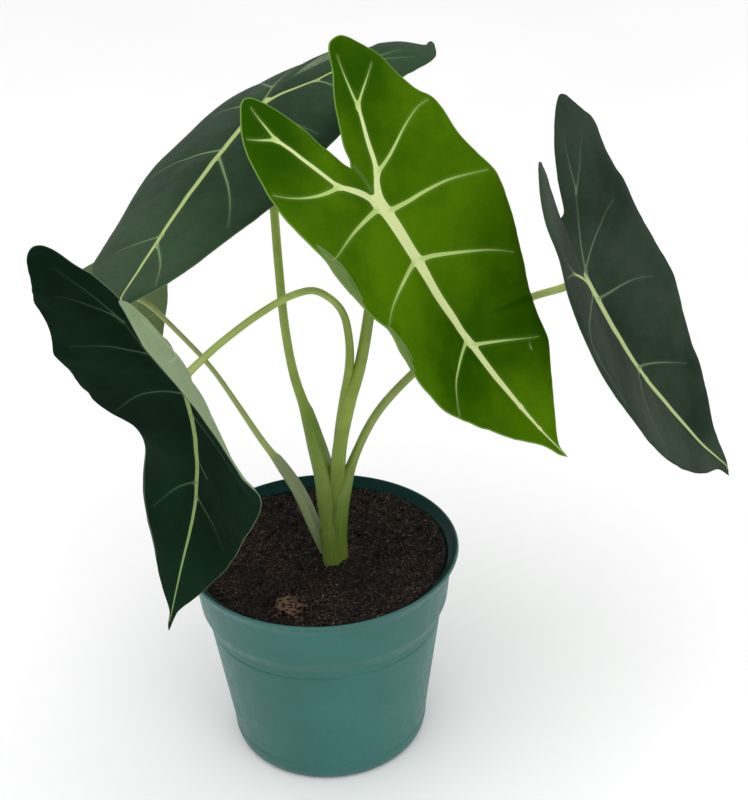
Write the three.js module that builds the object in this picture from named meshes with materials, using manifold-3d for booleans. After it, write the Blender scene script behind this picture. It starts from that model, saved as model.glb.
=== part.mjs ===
// Potted alocasia: five arrow-shaped leaves on long petioles, in soil in a tapered nursery pot.
// Millimetres, +Z up. The origin is the centre of the pot's underside and -Y faces the viewer.
import * as THREE from "three";
import { mergeVertices } from "three/addons/utils/BufferGeometryUtils.js";
import Module from "manifold-3d";

const wasm = await Module();
wasm.setup();

// Driving dimensions
const GAP = 0.3;
const POT = {
  height: 82,
  rimRadius: 51,
  lipWidth: 2.6,
  lipHeight: 3.2,
  bandTop: 48.2,
  bandFoot: 46.6,
  bandFootZ: 61.5,
  shoulder: 44.3,
  shoulderZ: 57.5,
  creaseZ: 54,
  crease: 0.5,
  footRadius: 37.4,
  footRise: 4,
  floorRadius: 33,
  wall: 1.5,
  sides: 48,
};
const DRAIN = { count: 6, radius: 3.5, circle: 25 };
const SOIL = { level: 78.4, dip: 1.5, tilt: 0.024, lump: 0.9, crumb: 0.6, rings: 12, sides: 48 };
const MOUND = { x: 5, y: -4, height: 2.4, radius: 10 };
const BLADE = { thickness: 0.8, rib: 1.6, sideRib: 0.5, quilt: 0.5 };
const GRID = { front: 15, back: 11, across: 6, midrib: 1.5 };
const VEIN_ROWS = [0, 8, 12, 15, 19, 26];
const COSTA_COLUMN = 3;
const STEM = { sides: 10, stride: 6, soilDepth: 20 };

// Leaf poses: the seat on the petiole, then degrees. Heading 0 points at the viewer and 90 to +X.
// Width and lobe are shares of the length. Fold and curl hold the values at seat, tip and lobe.
const LEAVES = {
  front: {
    seat: [24, -24, 225],
    heading: 83,
    pitch: -57,
    roll: 32,
    length: 109.5,
    width: 0.358,
    lobe: 0.48,
    spine: { bend: 31, bendTip: -53, lobeBend: -9, side: -1, twist: 2 },
    right: {
      fold: [17, 14, 0],
      curl: [2, -8, -10],
      wave: [0.3, 139],
      bump: [3.9, 0.28],
    },
    left: {
      fold: [18, 24, 7],
      curl: [-7, -5, -11],
      wave: [0.3, -155],
      bump: [5.1, 0.19],
    },
  },
  upper_left: {
    seat: [-13.5, 29.5, 241.5],
    heading: -38,
    pitch: -23,
    roll: 8,
    length: 114.5,
    width: 0.362,
    lobe: 0.53,
    spine: { bend: -1, bendTip: -15, lobeBend: 18, side: -38, twist: -1 },
    right: {
      fold: [-9, -2, -26],
      curl: [-12, -12, -12],
      wave: [0.6, -88],
      bump: [-1.9, 0.41],
    },
    left: {
      fold: [4, -7, -3],
      curl: [-12, -1, -11],
      wave: [0.3, -120],
      bump: [0, 0.3],
    },
  },
  hanging: {
    seat: [-35, -67.5, 184],
    heading: -9,
    pitch: -118,
    roll: -180,
    length: 105.5,
    width: 0.335,
    lobe: 0.7,
    spine: { bend: -18, bendTip: -37, lobeBend: 11, side: 24, twist: 30 },
    right: {
      fold: [-13, -18, 0],
      curl: [-10, -11, 0],
      wave: [5.2, -115],
      bump: [13.2, 0.03],
    },
    left: {
      fold: [45, 21, 96],
      curl: [20, 2, 4],
      wave: [0.9, -175],
      bump: [-7.0, 0.19],
    },
  },
  right: {
    seat: [94.5, 3.5, 185.5],
    heading: 109,
    pitch: -64,
    roll: 39,
    length: 114.5,
    width: 0.35,
    lobe: 0.51,
    spine: { bend: -15, bendTip: 1, lobeBend: -13, side: -10, twist: 4 },
    right: {
      fold: [18, 13, 14],
      curl: [-8, -3, -10],
      wave: [0.2, -14],
      bump: [0.9, 0.35],
    },
    left: {
      fold: [21, 15, 16],
      curl: [-5, -2, 2],
      wave: [0.1, 0],
      bump: [1.7, 0.31],
    },
  },
  back_left: {
    seat: [-66, 40, 169],
    heading: -156,
    pitch: -59,
    roll: -23,
    length: 83.5,
    width: 0.309,
    lobe: 0.42,
    spine: { bend: 20, bendTip: -6, lobeBend: 18, side: 0, twist: 7 },
    right: {
      fold: [20, 13, 20],
      curl: [-2, -3, -4],
      wave: [0.3, 0],
      bump: [0, 0.3],
    },
    left: {
      fold: [33, 20, 22],
      curl: [0, 0, 0],
      wave: [0.3, 40],
      bump: [0, 0.3],
    },
  },
};

// Margins of each half as [u, v] shares of the length, from the notch round the lobe to the tip.
const MARGINS = {
  front: {
    right: [
      [-0.131, 0], [-0.161, 0.019], [-0.217, 0.04], [-0.242, 0.053], [-0.294, 0.067],
      [-0.396, 0.115], [-0.454, 0.15], [-0.469, 0.164], [-0.479, 0.18], [-0.483, 0.194],
      [-0.478, 0.209], [-0.468, 0.221], [-0.423, 0.257], [-0.375, 0.283], [-0.281, 0.318],
      [-0.252, 0.331], [-0.152, 0.364], [-0.12, 0.372], [-0.077, 0.377], [-0.038, 0.378],
      [0.001, 0.385], [0.084, 0.371], [0.168, 0.361], [0.217, 0.343], [0.234, 0.346],
      [0.286, 0.367], [0.328, 0.359], [0.377, 0.341], [0.47, 0.303], [0.535, 0.285],
      [0.569, 0.271], [0.654, 0.219], [0.734, 0.164], [0.778, 0.137], [0.83, 0.101],
      [0.911, 0.039], [0.943, 0.025], [0.973, 0.017], [1, 0],
    ],
    left: [
      [-0.131, 0], [-0.149, 0.01], [-0.185, 0.017], [-0.266, 0.054], [-0.32, 0.084],
      [-0.372, 0.122], [-0.424, 0.151], [-0.436, 0.161], [-0.443, 0.172], [-0.445, 0.188],
      [-0.443, 0.205], [-0.435, 0.224], [-0.401, 0.257], [-0.318, 0.308], [-0.297, 0.312],
      [-0.188, 0.327], [-0.133, 0.356], [-0.107, 0.361], [-0.081, 0.362], [0.006, 0.355],
      [0.132, 0.365], [0.155, 0.365], [0.249, 0.349], [0.283, 0.346], [0.326, 0.339],
      [0.401, 0.318], [0.441, 0.304], [0.521, 0.269], [0.6, 0.243], [0.666, 0.227], [0.694, 0.217],
      [0.716, 0.203], [0.753, 0.175], [0.828, 0.117], [0.896, 0.061], [0.944, 0.02],
      [0.961, 0.009], [1, 0],
    ],
  },
  upper_left: {
    right: [
      [-0.16, 0], [-0.2, 0.018], [-0.26, 0.04], [-0.33, 0.066], [-0.4, 0.095], [-0.47, 0.125],
      [-0.5, 0.153], [-0.512, 0.177], [-0.5, 0.21], [-0.462, 0.25], [-0.38, 0.3],
      [-0.28, 0.333], [-0.17, 0.352], [-0.05, 0.362], [0.07, 0.372], [0.18, 0.366], [0.28, 0.348],
      [0.393, 0.328], [0.474, 0.293], [0.554, 0.262], [0.651, 0.23], [0.7, 0.204], [0.764, 0.15],
      [0.83, 0.107], [0.9, 0.058], [0.955, 0.02], [1, 0],
    ],
    left: [
      [-0.16, 0], [-0.2, 0.015], [-0.27, 0.036], [-0.33, 0.058], [-0.403, 0.086], [-0.436, 0.085],
      [-0.467, 0.097], [-0.499, 0.118], [-0.555, 0.186], [-0.573, 0.175], [-0.586, 0.172],
      [-0.585, 0.186], [-0.542, 0.258], [-0.514, 0.276], [-0.434, 0.299], [-0.388, 0.31],
      [-0.36, 0.314], [-0.26, 0.338], [-0.15, 0.358], [0, 0.366], [0.15, 0.36], [0.28, 0.343],
      [0.38, 0.323], [0.474, 0.298], [0.57, 0.259], [0.651, 0.219], [0.732, 0.178], [0.804, 0.14],
      [0.87, 0.103], [0.93, 0.056], [0.965, 0.02], [1, 0],
    ],
  },
  hanging: {
    right: [
      [-0.16, 0], [-0.2, 0.01], [-0.26, 0.026], [-0.33, 0.045], [-0.41, 0.064], [-0.478, 0.082],
      [-0.54, 0.1], [-0.655, 0.143], [-0.69, 0.163], [-0.698, 0.183], [-0.685, 0.205],
      [-0.64, 0.226], [-0.58, 0.247], [-0.52, 0.272], [-0.46, 0.305], [-0.4, 0.33], [-0.28, 0.322],
      [-0.19, 0.331], [-0.09, 0.334], [0.006, 0.327], [0.119, 0.333], [0.2, 0.328], [0.26, 0.3],
      [0.319, 0.239], [0.356, 0.236], [0.444, 0.254], [0.484, 0.258], [0.542, 0.257],
      [0.572, 0.25], [0.6, 0.238], [0.68, 0.197], [0.745, 0.161], [0.804, 0.133], [0.859, 0.098],
      [0.926, 0.031], [0.946, 0.016], [0.985, 0.008], [1, 0],
    ],
    left: [
      [-0.16, 0], [-0.2, 0.004], [-0.24, 0.014], [-0.34, 0.087], [-0.408, 0.104], [-0.504, 0.134],
      [-0.542, 0.154], [-0.564, 0.179], [-0.527, 0.193], [-0.478, 0.225], [-0.46, 0.24],
      [-0.434, 0.249], [-0.351, 0.283], [-0.3, 0.305], [-0.18, 0.327], [-0.05, 0.335],
      [0.06, 0.334], [0.186, 0.322], [0.305, 0.323], [0.369, 0.307], [0.479, 0.259],
      [0.549, 0.231], [0.604, 0.208], [0.675, 0.179], [0.734, 0.148], [0.818, 0.097],
      [0.918, 0.024], [0.934, 0.014], [1, 0],
    ],
  },
  right: {
    right: [
      [-0.22, 0], [-0.251, 0.013], [-0.327, 0.038], [-0.354, 0.043], [-0.405, 0.074],
      [-0.436, 0.087], [-0.466, 0.115], [-0.506, 0.161], [-0.522, 0.208], [-0.519, 0.225],
      [-0.506, 0.233], [-0.47, 0.266], [-0.444, 0.284], [-0.414, 0.293], [-0.385, 0.298],
      [-0.291, 0.282], [-0.263, 0.283], [-0.228, 0.31], [-0.208, 0.33], [-0.166, 0.345],
      [-0.091, 0.367], [0.003, 0.378], [0.037, 0.379], [0.151, 0.366], [0.229, 0.345],
      [0.346, 0.32], [0.462, 0.29], [0.561, 0.255], [0.658, 0.211], [0.754, 0.157], [0.813, 0.118],
      [0.855, 0.086], [0.928, 0.021], [0.954, 0.007], [1, 0],
    ],
    left: [
      [-0.22, 0], [-0.224, 0.026], [-0.277, 0.04], [-0.31, 0.043], [-0.398, 0.062],
      [-0.447, 0.078], [-0.494, 0.098], [-0.535, 0.121], [-0.55, 0.136], [-0.552, 0.149],
      [-0.541, 0.171], [-0.512, 0.2], [-0.436, 0.259], [-0.398, 0.289], [-0.37, 0.302],
      [-0.347, 0.308], [-0.31, 0.311], [-0.195, 0.326], [-0.117, 0.347], [-0.074, 0.351],
      [0.022, 0.349], [0.137, 0.35], [0.254, 0.347], [0.296, 0.345], [0.337, 0.341],
      [0.384, 0.329], [0.498, 0.288], [0.585, 0.251], [0.659, 0.228], [0.713, 0.197],
      [0.762, 0.163], [0.849, 0.095], [0.944, 0.047], [0.967, 0.034], [1, 0],
    ],
  },
  back_left: {
    right: [
      [-0.14, 0], [-0.21, 0.024], [-0.29, 0.057], [-0.36, 0.093], [-0.41, 0.125], [-0.42, 0.15],
      [-0.41, 0.185], [-0.37, 0.226], [-0.28, 0.272], [-0.18, 0.298], [-0.06, 0.309], [0.08, 0.31],
      [0.2, 0.301], [0.32, 0.286], [0.44, 0.258], [0.56, 0.218], [0.68, 0.163], [0.8, 0.098],
      [0.9, 0.044], [0.955, 0.018], [1, 0],
    ],
    left: [
      [-0.14, 0], [-0.2, 0.024], [-0.27, 0.057], [-0.33, 0.093], [-0.37, 0.125], [-0.38, 0.15],
      [-0.37, 0.185], [-0.33, 0.226], [-0.25, 0.272], [-0.16, 0.298], [-0.05, 0.309], [0.08, 0.31],
      [0.2, 0.301], [0.32, 0.286], [0.44, 0.258], [0.56, 0.218], [0.68, 0.163], [0.8, 0.098],
      [0.9, 0.044], [0.955, 0.018], [1, 0],
    ],
  },
};

// Petioles: points from the crown up to the seat, and [share of length, radius] pairs.
const PETIOLES = {
  front: {
    path: [[5.6, -3.2, 74.6], [5.2, -2.7, 85.5], [6.5, -4, 104], [8.6, -7.1, 128], [12.9, -9.4, 147.6],
      [16.5, -10.9, 160.2], [20, -14, 179], [23.2, -19, 204], [24.3, -22.5, 218]],
    radius: [[0, 3.8], [0.17, 3.7], [0.25, 3.2], [0.4, 2.6], [0.6, 2.1], [1, 1.6]],
  },
  upper_left: {
    path: [[3.9, -4.6, 70], [3.6, -4.9, 80], [3.4, -5, 90.8], [2.9, -4.1, 101.6], [2.3, -2.5, 113.1],
      [-0.4, 0.5, 126], [-3.4, 3.8, 138], [-6.8, 6.5, 150.5], [-9.1, 10, 167], [-10.2, 14.2, 190],
      [-11, 20, 212], [-12.8, 26.5, 233]],
    radius: [[0, 3], [0.12, 3.1], [0.18, 3.5], [0.24, 3.7], [0.31, 3.3], [0.37, 2.5], [0.41, 1.85],
      [0.5, 1.6], [1, 1.5]],
  },
  hanging: {
    path: [[6.9, -3.3, 113.1], [8.7, -5.9, 132.1], [11.2, -8, 148.5], [13.2, -11.2, 161.1],
      [13.7, -15, 173], [12.1, -20.5, 186.5], [8.5, -23.9, 193.3], [3, -27.3, 198], [-4, -31.8, 198.4],
      [-12, -38.5, 196.8], [-21, -48, 194.3], [-30, -59.5, 191.2], [-35.2, -66.8, 188]],
    radius: [[0, 2.1], [0.2, 1.9], [0.4, 1.4], [0.55, 1.2], [1, 1.15]],
  },
  right: {
    path: [[7.2, -5, 70], [7, -5.4, 80], [6.9, -5.8, 89], [7.9, -5.9, 100.2], [9.8, -5.3, 110.7],
      [13.9, -3, 122.2], [22.2, -0.5, 137.6], [35.9, 0.8, 152.9], [55.5, 2.1, 169.2],
      [76.8, 2.8, 179.2], [88, 3.1, 182.4]],
    radius: [[0, 2.8], [0.11, 2.8], [0.25, 2.7], [0.29, 2.1], [0.34, 1.6], [1, 1.3]],
  },
  back_left: {
    path: [[3.7, -0.8, 72.6], [1.2, -0.4, 80.1], [-2.6, 0.7, 90.5], [-7.9, 3.9, 103.7],
      [-14.6, 7.7, 114], [-20.6, 11.1, 121.9], [-27.9, 15.9, 132.6], [-37.9, 22.9, 146.1],
      [-49.9, 30.1, 157.7], [-60, 36, 166]],
    radius: [[0, 2.3], [0.2, 2.4], [0.34, 2], [0.4, 1.3], [0.5, 1.15], [0.65, 0.95], [1, 0.95]],
  },
};

const DEG = Math.PI / 180;
const UP = new THREE.Vector3(0, 0, 1);

function clamp(x, lo, hi) {
  return Math.min(hi, Math.max(lo, x));
}

// Smooth change from the seat's value to the tip's (u > 0) or the lobe's (u < 0).
function alongBlade(u, [seat, tip, lobe], lobeShare) {
  const t = clamp(u >= 0 ? u : -u / lobeShare, 0, 1);
  return seat + ((u >= 0 ? tip : lobe) - seat) * t * t * (3 - 2 * t);
}

// One half's margin as smooth inner and outer lines with u rising, from the lobe's end.
function marginLines(name, side) {
  const points = MARGINS[name][side > 0 ? "right" : "left"];
  const stations = points.map(([u, v]) => new THREE.Vector3(u, v, 0));
  const curve = new THREE.CatmullRomCurve3(stations, false, "centripetal");
  const line = curve.getPoints(12 * points.length);
  const end = line.reduce((best, p, i) => (p.x < line[best].x ? i : best), 0);
  return { inner: line.slice(0, end + 1).reverse(), outer: line.slice(end), lobeEnd: line[end] };
}

function marginAt(line, u) {
  const found = line.findIndex((p) => p.x >= u);
  const i = found < 0 ? line.length - 1 : Math.max(1, found);
  const [a, b] = [line[i - 1], line[i]];
  return a.y + (b.y - a.y) * clamp((u - a.x) / (b.x - a.x), 0, 1);
}

// Frames along the midrib's line, from behind the lobes to the drip tip.
function bladeSpine(name) {
  const steps = 120;
  const leaf = LEAVES[name];
  const { bend, bendTip, lobeBend, side, twist } = leaf.spine;
  const start = Math.min(...Object.values(MARGINS[name]).flat().map(([u]) => u)) - 0.02;
  const h = leaf.heading * DEG;
  const e = leaf.pitch * DEG;
  const r = leaf.roll * DEG;
  const ahead = new THREE.Vector3(Math.cos(e) * Math.sin(h), -Math.cos(e) * Math.cos(h), Math.sin(e));
  const level = ahead.clone().cross(UP).normalize();
  const face = level.clone().cross(ahead).multiplyScalar(Math.cos(r));
  face.addScaledVector(level, Math.sin(r));
  const right = ahead.clone().cross(face);
  const stride = ((1 - start) / steps) * leaf.length;
  const frames = [];
  const point = new THREE.Vector3();
  for (let i = 0; i <= steps; i++) {
    const u = start + ((1 - start) * i) / steps;
    const down = (u >= 0 ? bend * u + bendTip * u * u : (lobeBend * u) / leaf.lobe) * DEG;
    const away = side * u * DEG;
    const tangent = ahead.clone().multiplyScalar(Math.cos(down) * Math.cos(away));
    tangent.addScaledVector(face, -Math.sin(down));
    tangent.addScaledVector(right, Math.cos(down) * Math.sin(away)).normalize();
    if (i) point.addScaledVector(tangent.clone().add(frames[i - 1].tangent), stride / 2);
    const normal = face.clone().addScaledVector(tangent, -face.dot(tangent)).normalize();
    normal.applyAxisAngle(tangent, twist * u * DEG);
    frames.push({ u, tangent, normal, across: tangent.clone().cross(normal), point: point.clone() });
  }
  const seat = frameAt(frames, 0).point;
  const shift = new THREE.Vector3(...leaf.seat).sub(seat);
  frames.forEach((f) => f.point.add(shift));
  return frames;
}

function frameAt(frames, u) {
  const first = frames[0].u;
  const last = frames.length - 1;
  const place = clamp(((u - first) / (frames[last].u - first)) * last, 0, last - 1e-9);
  const i = Math.floor(place);
  const mix = (key) => frames[i][key].clone().lerp(frames[i + 1][key], place - i);
  return { point: mix("point"), normal: mix("normal"), across: mix("across") };
}

// Middle surface of a blade: u runs along the midrib and v to the right, as shares of the length.
function bladePoint(leaf, frames, u, v) {
  const half = v >= 0 ? leaf.right : leaf.left;
  const { length, width, lobe } = leaf;
  const { point, normal, across } = frameAt(frames, u);
  const fold = alongBlade(u, half.fold, lobe) * DEG;
  const curl = alongBlade(u, half.curl, lobe) * DEG || 1e-6;
  const a = Math.abs(v) / width;
  const end = fold + curl * a;
  const out = (width * length * (Math.sin(end) - Math.sin(fold))) / curl;
  const up = (width * length * (Math.cos(fold) - Math.cos(end))) / curl;
  const [height, phase] = half.wave;
  const [bump, place] = half.bump;
  const ripple = height * Math.sin(2 * Math.PI * 2.2 * u + phase * DEG) * clamp((1 - u) * 4, 0, 1);
  const wave = (ripple + bump * Math.exp(-(((u - place) / 0.14) ** 2))) * a * a;
  point.addScaledVector(across, Math.sign(v) * (out - wave * Math.sin(end)));
  return point.addScaledVector(normal, up + wave * Math.cos(end));
}

function bladeNormal(leaf, frames, u, v) {
  const d = 0.004;
  const along = bladePoint(leaf, frames, u + d, v).sub(bladePoint(leaf, frames, u - d, v));
  const across = bladePoint(leaf, frames, u, v + d).sub(bladePoint(leaf, frames, u, v - d));
  return across.cross(along).normalize();
}

// One side's rows of points from the tip back to the lobe's end, swept like the side veins. Rows in
// VEIN_ROWS lie under a side vein, and the blade is puffed a little between them.
function bladeRows(name, side) {
  const { lobe, length } = LEAVES[name];
  const { inner: innerLine, outer: outerLine, lobeEnd } = marginLines(name, side);
  const own = -lobeEnd.x;
  const notch = -MARGINS[name].right[0][0];
  const sweep = (p) => 0.1 + 0.25 * p - 0.35 * p * p;
  const rows = [];
  const addRow = (uIn, vIn, uOut) => {
    const k = rows.length;
    const next = VEIN_ROWS.findIndex((row) => row >= k);
    const phase = (k - VEIN_ROWS[next - 1]) / (VEIN_ROWS[next] - VEIN_ROWS[next - 1]);
    const vOut = marginAt(outerLine, uOut);
    const near = Math.min(0.35, GRID.midrib / length / Math.max(vOut - vIn, 1e-6));
    const row = [];
    for (let c = 0; c <= GRID.across; c++) {
      const t = c ? near + ((1 - near) * (c - 1)) / (GRID.across - 1) : 0;
      const costa = k > GRID.front && c === COSTA_COLUMN;
      const rib = c && (phase === 1 || costa) ? BLADE.sideRib * (1 - 0.8 * t) : 0;
      const puff = costa ? 0 : BLADE.quilt * Math.sin(Math.PI * phase) ** 2 * Math.sin(Math.PI * t);
      row.push({ u: uIn + (uOut - uIn) * t, v: side * (vIn + (vOut - vIn) * t), rib, puff });
    }
    rows.push(row);
  };
  const fan = (u, v) => rows.push(Array(GRID.across + 1).fill({ u, v, rib: 0, puff: 0 }));
  fan(1, 0);
  for (let i = 1; i <= GRID.front; i++) {
    const p = 1 - (i / GRID.front) ** 1.15;
    addRow(p, 0, Math.min(1, p + sweep(p)));
  }
  const reach = Array.from({ length: GRID.back }, (_, j) => 1 - (1 - (j + 1) / GRID.back) ** 1.6);
  const inner = reach.map((b) => -lobe * b ** 2.3);
  const misses = inner.map((u) => Math.abs(u + notch));
  inner[misses.indexOf(Math.min(...misses))] = -notch;
  reach.slice(0, -1).forEach((b, j) => {
    const behind = Math.max(0, -inner[j] - notch);
    const uIn = Math.max(inner[j], -notch) - (behind * (own - notch)) / (lobe - notch);
    addRow(uIn, uIn < -notch ? marginAt(innerLine, uIn) : 0, sweep(0) - (own + sweep(0)) * b);
  });
  fan(-own, side * lobeEnd.y);
  return rows;
}

function bladeGeometry(name, swell = 0) {
  const leaf = LEAVES[name];
  const notch = -MARGINS[name].right[0][0];
  const frames = bladeSpine(name);
  const ids = new Map();
  const places = [];
  const idOf = (place) => {
    const key = place.u.toFixed(6) + "," + place.v.toFixed(6);
    if (!ids.has(key)) ids.set(key, places.push(place) - 1);
    return ids.get(key);
  };
  const faces = [];
  for (const side of [1, -1]) {
    const rows = bladeRows(name, side).map((row) => row.map(idOf));
    for (let i = 1; i < rows.length; i++) {
      for (let c = 1; c <= GRID.across; c++) {
        const [a, b] = rows[i - 1].slice(c - 1);
        const [d, e] = rows[i].slice(c - 1);
        for (const f of [[a, d, b], [b, d, e]]) {
          if (new Set(f).size === 3) faces.push(side > 0 ? f : [f[0], f[2], f[1]]);
        }
      }
    }
  }
  const top = [];
  const under = [];
  for (const { u, v, rib, puff } of places) {
    const normal = bladeNormal(leaf, frames, u, v);
    const middle = bladePoint(leaf, frames, u, v).addScaledVector(normal, puff);
    const half = BLADE.thickness / 2 + swell;
    const midrib = BLADE.rib * (u >= 0 ? 1 - 0.85 * u : Math.max(0, 1 + u / notch));
    top.push(middle.clone().addScaledVector(normal, half));
    under.push(middle.addScaledVector(normal, -half - (v === 0 ? midrib : rib)));
  }
  return shellBetween(top, under, faces);
}

// Closed solid between two matching sheets of points, joined along the open edges.
function shellBetween(top, under, faces) {
  const n = top.length;
  const open = new Set(faces.flatMap(([a, b, c]) => [`${a},${b}`, `${b},${c}`, `${c},${a}`]));
  const index = faces.flatMap(([a, b, c]) => [a, b, c, a + n, c + n, b + n]);
  for (const edge of open) {
    const [a, b] = edge.split(",").map(Number);
    if (!open.has(`${b},${a}`)) index.push(b, a, a + n, b, a + n, b + n);
  }
  const points = [...top, ...under].flatMap((p) => p.toArray());
  const geometry = new THREE.BufferGeometry();
  geometry.setAttribute("position", new THREE.Float32BufferAttribute(points, 3));
  return geometry.setIndex(index);
}

// Tapered stalk along a smooth curve, with round loops and closed ends.
function stalkGeometry({ path, radius }, end, swell = 0) {
  const stations = [...path, ...end].map((p) => new THREE.Vector3(...p));
  const curve = new THREE.CatmullRomCurve3(stations, false, "centripetal");
  const steps = Math.round(curve.getLength() / STEM.stride);
  const { normals, binormals } = curve.computeFrenetFrames(steps, false);
  const points = [];
  const index = [];
  const n = STEM.sides;
  for (let i = 0; i <= steps; i++) {
    const share = i / steps;
    const centre = curve.getPointAt(share);
    const next = radius.findIndex(([s]) => s >= share);
    const [s1, r1] = radius[next];
    const [s0, r0] = radius[Math.max(0, next - 1)];
    const r = swell + (next ? r0 + ((r1 - r0) * (share - s0)) / (s1 - s0) : r1);
    for (let k = 0; k < n; k++) {
      const angle = (2 * Math.PI * k) / n;
      const p = centre.clone().addScaledVector(normals[i], r * Math.cos(angle));
      points.push(...p.addScaledVector(binormals[i], r * Math.sin(angle)).toArray());
    }
    if (i === 0) continue;
    for (let k = 0; k < n; k++) {
      const [a, b] = [(i - 1) * n + k, (i - 1) * n + ((k + 1) % n)];
      index.push(a, b, b + n, a, b + n, a + n);
    }
  }
  points.push(...curve.getPointAt(0).toArray(), ...curve.getPointAt(1).toArray());
  const foot = n * (steps + 1);
  for (let k = 0; k < n; k++) {
    const next = (k + 1) % n;
    index.push(foot, next, k, foot + 1, steps * n + k, steps * n + next);
  }
  const geometry = new THREE.BufferGeometry();
  geometry.setAttribute("position", new THREE.Float32BufferAttribute(points, 3));
  return geometry.setIndex(index);
}

// Booleans
function solidOf(geometry) {
  const bare = geometry.clone();
  bare.deleteAttribute("normal");
  bare.deleteAttribute("uv");
  const merged = mergeVertices(bare, 1e-4);
  const ids = merged.index.array;
  const triVerts = [];
  for (let i = 0; i < ids.length; i += 3) {
    const [a, b, c] = [ids[i], ids[i + 1], ids[i + 2]];
    if (a !== b && b !== c && c !== a) triVerts.push(a, b, c);
  }
  const vertProperties = merged.attributes.position.array;
  const mesh = new wasm.Mesh({ numProp: 3, vertProperties, triVerts: new Uint32Array(triVerts) });
  return new wasm.Manifold(mesh);
}

function largestBody(solid) {
  const bodies = solid.decompose();
  return bodies.reduce((best, body) => (body.volume() > best.volume() ? body : best));
}

function geometryOf(solid) {
  const mesh = solid.getMesh();
  const geometry = new THREE.BufferGeometry();
  geometry.setAttribute("position", new THREE.BufferAttribute(mesh.vertProperties, mesh.numProp));
  geometry.setIndex(new THREE.BufferAttribute(mesh.triVerts, 1));
  return geometry;
}

function turned(profile, sides) {
  const line = profile.map(([r, z]) => new THREE.Vector2(r, z));
  return new THREE.LatheGeometry(line, sides).rotateX(Math.PI / 2);
}

// Wall of the pot on its inner side, from the floor up, with a step behind the band.
function innerWall(offset) {
  const t = POT.wall + offset;
  return [
    [POT.floorRadius, t],
    [POT.footRadius - t, POT.footRise + 0.5],
    [POT.shoulder - POT.crease - t, POT.creaseZ],
    [POT.shoulder - t, POT.shoulderZ + 0.6],
    [POT.bandFoot - t, POT.bandFootZ + 0.4],
    [POT.bandTop - t, POT.height - POT.lipHeight],
  ];
}

function potSolid() {
  const { height, rimRadius, lipWidth, lipHeight } = POT;
  const outer = [
    [0, 0],
    [POT.floorRadius, 0],
    [POT.footRadius - 1, POT.footRise * 0.3],
    [POT.footRadius, POT.footRise],
    [POT.shoulder - 2 * POT.crease, POT.creaseZ - 0.3],
    [POT.shoulder - 0.6 * POT.crease, POT.creaseZ + 0.3],
    [POT.shoulder, POT.shoulderZ],
    [POT.bandFoot, POT.bandFootZ],
    [POT.bandTop, height - lipHeight],
    [rimRadius - 0.3, height - lipHeight],
    [rimRadius, height - lipHeight + 0.6],
    [rimRadius, height - 0.8],
    [rimRadius - 0.8, height],
    [rimRadius - lipWidth + 0.4, height],
    [rimRadius - lipWidth, height - 0.6],
  ];
  let pot = solidOf(turned([...outer, ...innerWall(0).reverse(), [0, POT.wall]], POT.sides));
  for (let i = 0; i < DRAIN.count; i++) {
    const angle = (2 * Math.PI * (i + 0.5)) / DRAIN.count;
    const hole = new THREE.CylinderGeometry(DRAIN.radius, DRAIN.radius, 4 * POT.wall, 16);
    hole.rotateX(Math.PI / 2);
    hole.translate(DRAIN.circle * Math.cos(angle), DRAIN.circle * Math.sin(angle), POT.wall / 2);
    pot = pot.subtract(solidOf(hole));
  }
  return pot;
}

// Uneven surface of the potting mix: dished, higher at the back right and heaped round the crown.
function soilHeight(x, y) {
  const r = Math.hypot(x, y) / 46;
  const broad = Math.sin(0.21 * x + 1.3) * Math.cos(0.17 * y - 0.6);
  const lumps = broad + 0.6 * Math.sin(0.34 * x - 0.29 * y + 2);
  const fine = Math.sin(0.93 * x + 0.4 * y) * Math.sin(0.71 * y - 0.5 * x + 1);
  const crumbs = fine + 0.6 * Math.sin(1.4 * x - 1.2 * y);
  const away = Math.hypot(x - MOUND.x, y - MOUND.y) / MOUND.radius;
  const heap = MOUND.height * Math.exp(-away * away);
  const base = SOIL.level - SOIL.dip * (1 - r * r) + SOIL.tilt * (x + y);
  return base + heap + SOIL.lump * lumps + SOIL.crumb * crumbs;
}

function soilSolid() {
  const wall = innerWall(GAP);
  const [topR, topZ] = wall.pop();
  const [lowR, lowZ] = wall[wall.length - 1];
  const edge = lowR + ((topR - lowR) * (SOIL.level - 1 - lowZ)) / (topZ - lowZ);
  const profile = [[0, wall[0][1]], ...wall];
  for (let i = 0; i <= SOIL.rings; i++) profile.push([edge * (1 - i / SOIL.rings), SOIL.level]);
  const geometry = turned(profile, SOIL.sides);
  const { position } = geometry.attributes;
  for (let i = 0; i < position.count; i++) {
    if (position.getZ(i) < SOIL.level - 0.01) continue;
    const [x, y] = [position.getX(i), position.getY(i)];
    const inside = Math.min(1, (edge - Math.hypot(x, y)) / 4 + 0.6);
    position.setZ(i, SOIL.level - 1 + (soilHeight(x, y) - SOIL.level + 1) * inside);
  }
  return solidOf(geometry);
}

// Assembly
const green = new THREE.MeshStandardMaterial({ color: 0x7d8f4c, roughness: 0.55 });
const fresh = new THREE.MeshStandardMaterial({ color: 0x466a1c, roughness: 0.6 });
const dark = new THREE.MeshStandardMaterial({ color: 0x24382b, roughness: 0.75 });
const plastic = new THREE.MeshStandardMaterial({ color: 0x477671, roughness: 0.5 });
const earth = new THREE.MeshStandardMaterial({ color: 0x2b211b, roughness: 1 });

const part = new THREE.Group();
function addPiece(name, solid, material) {
  const mesh = new THREE.Mesh(geometryOf(solid), material);
  mesh.name = name;
  part.add(mesh);
}

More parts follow.
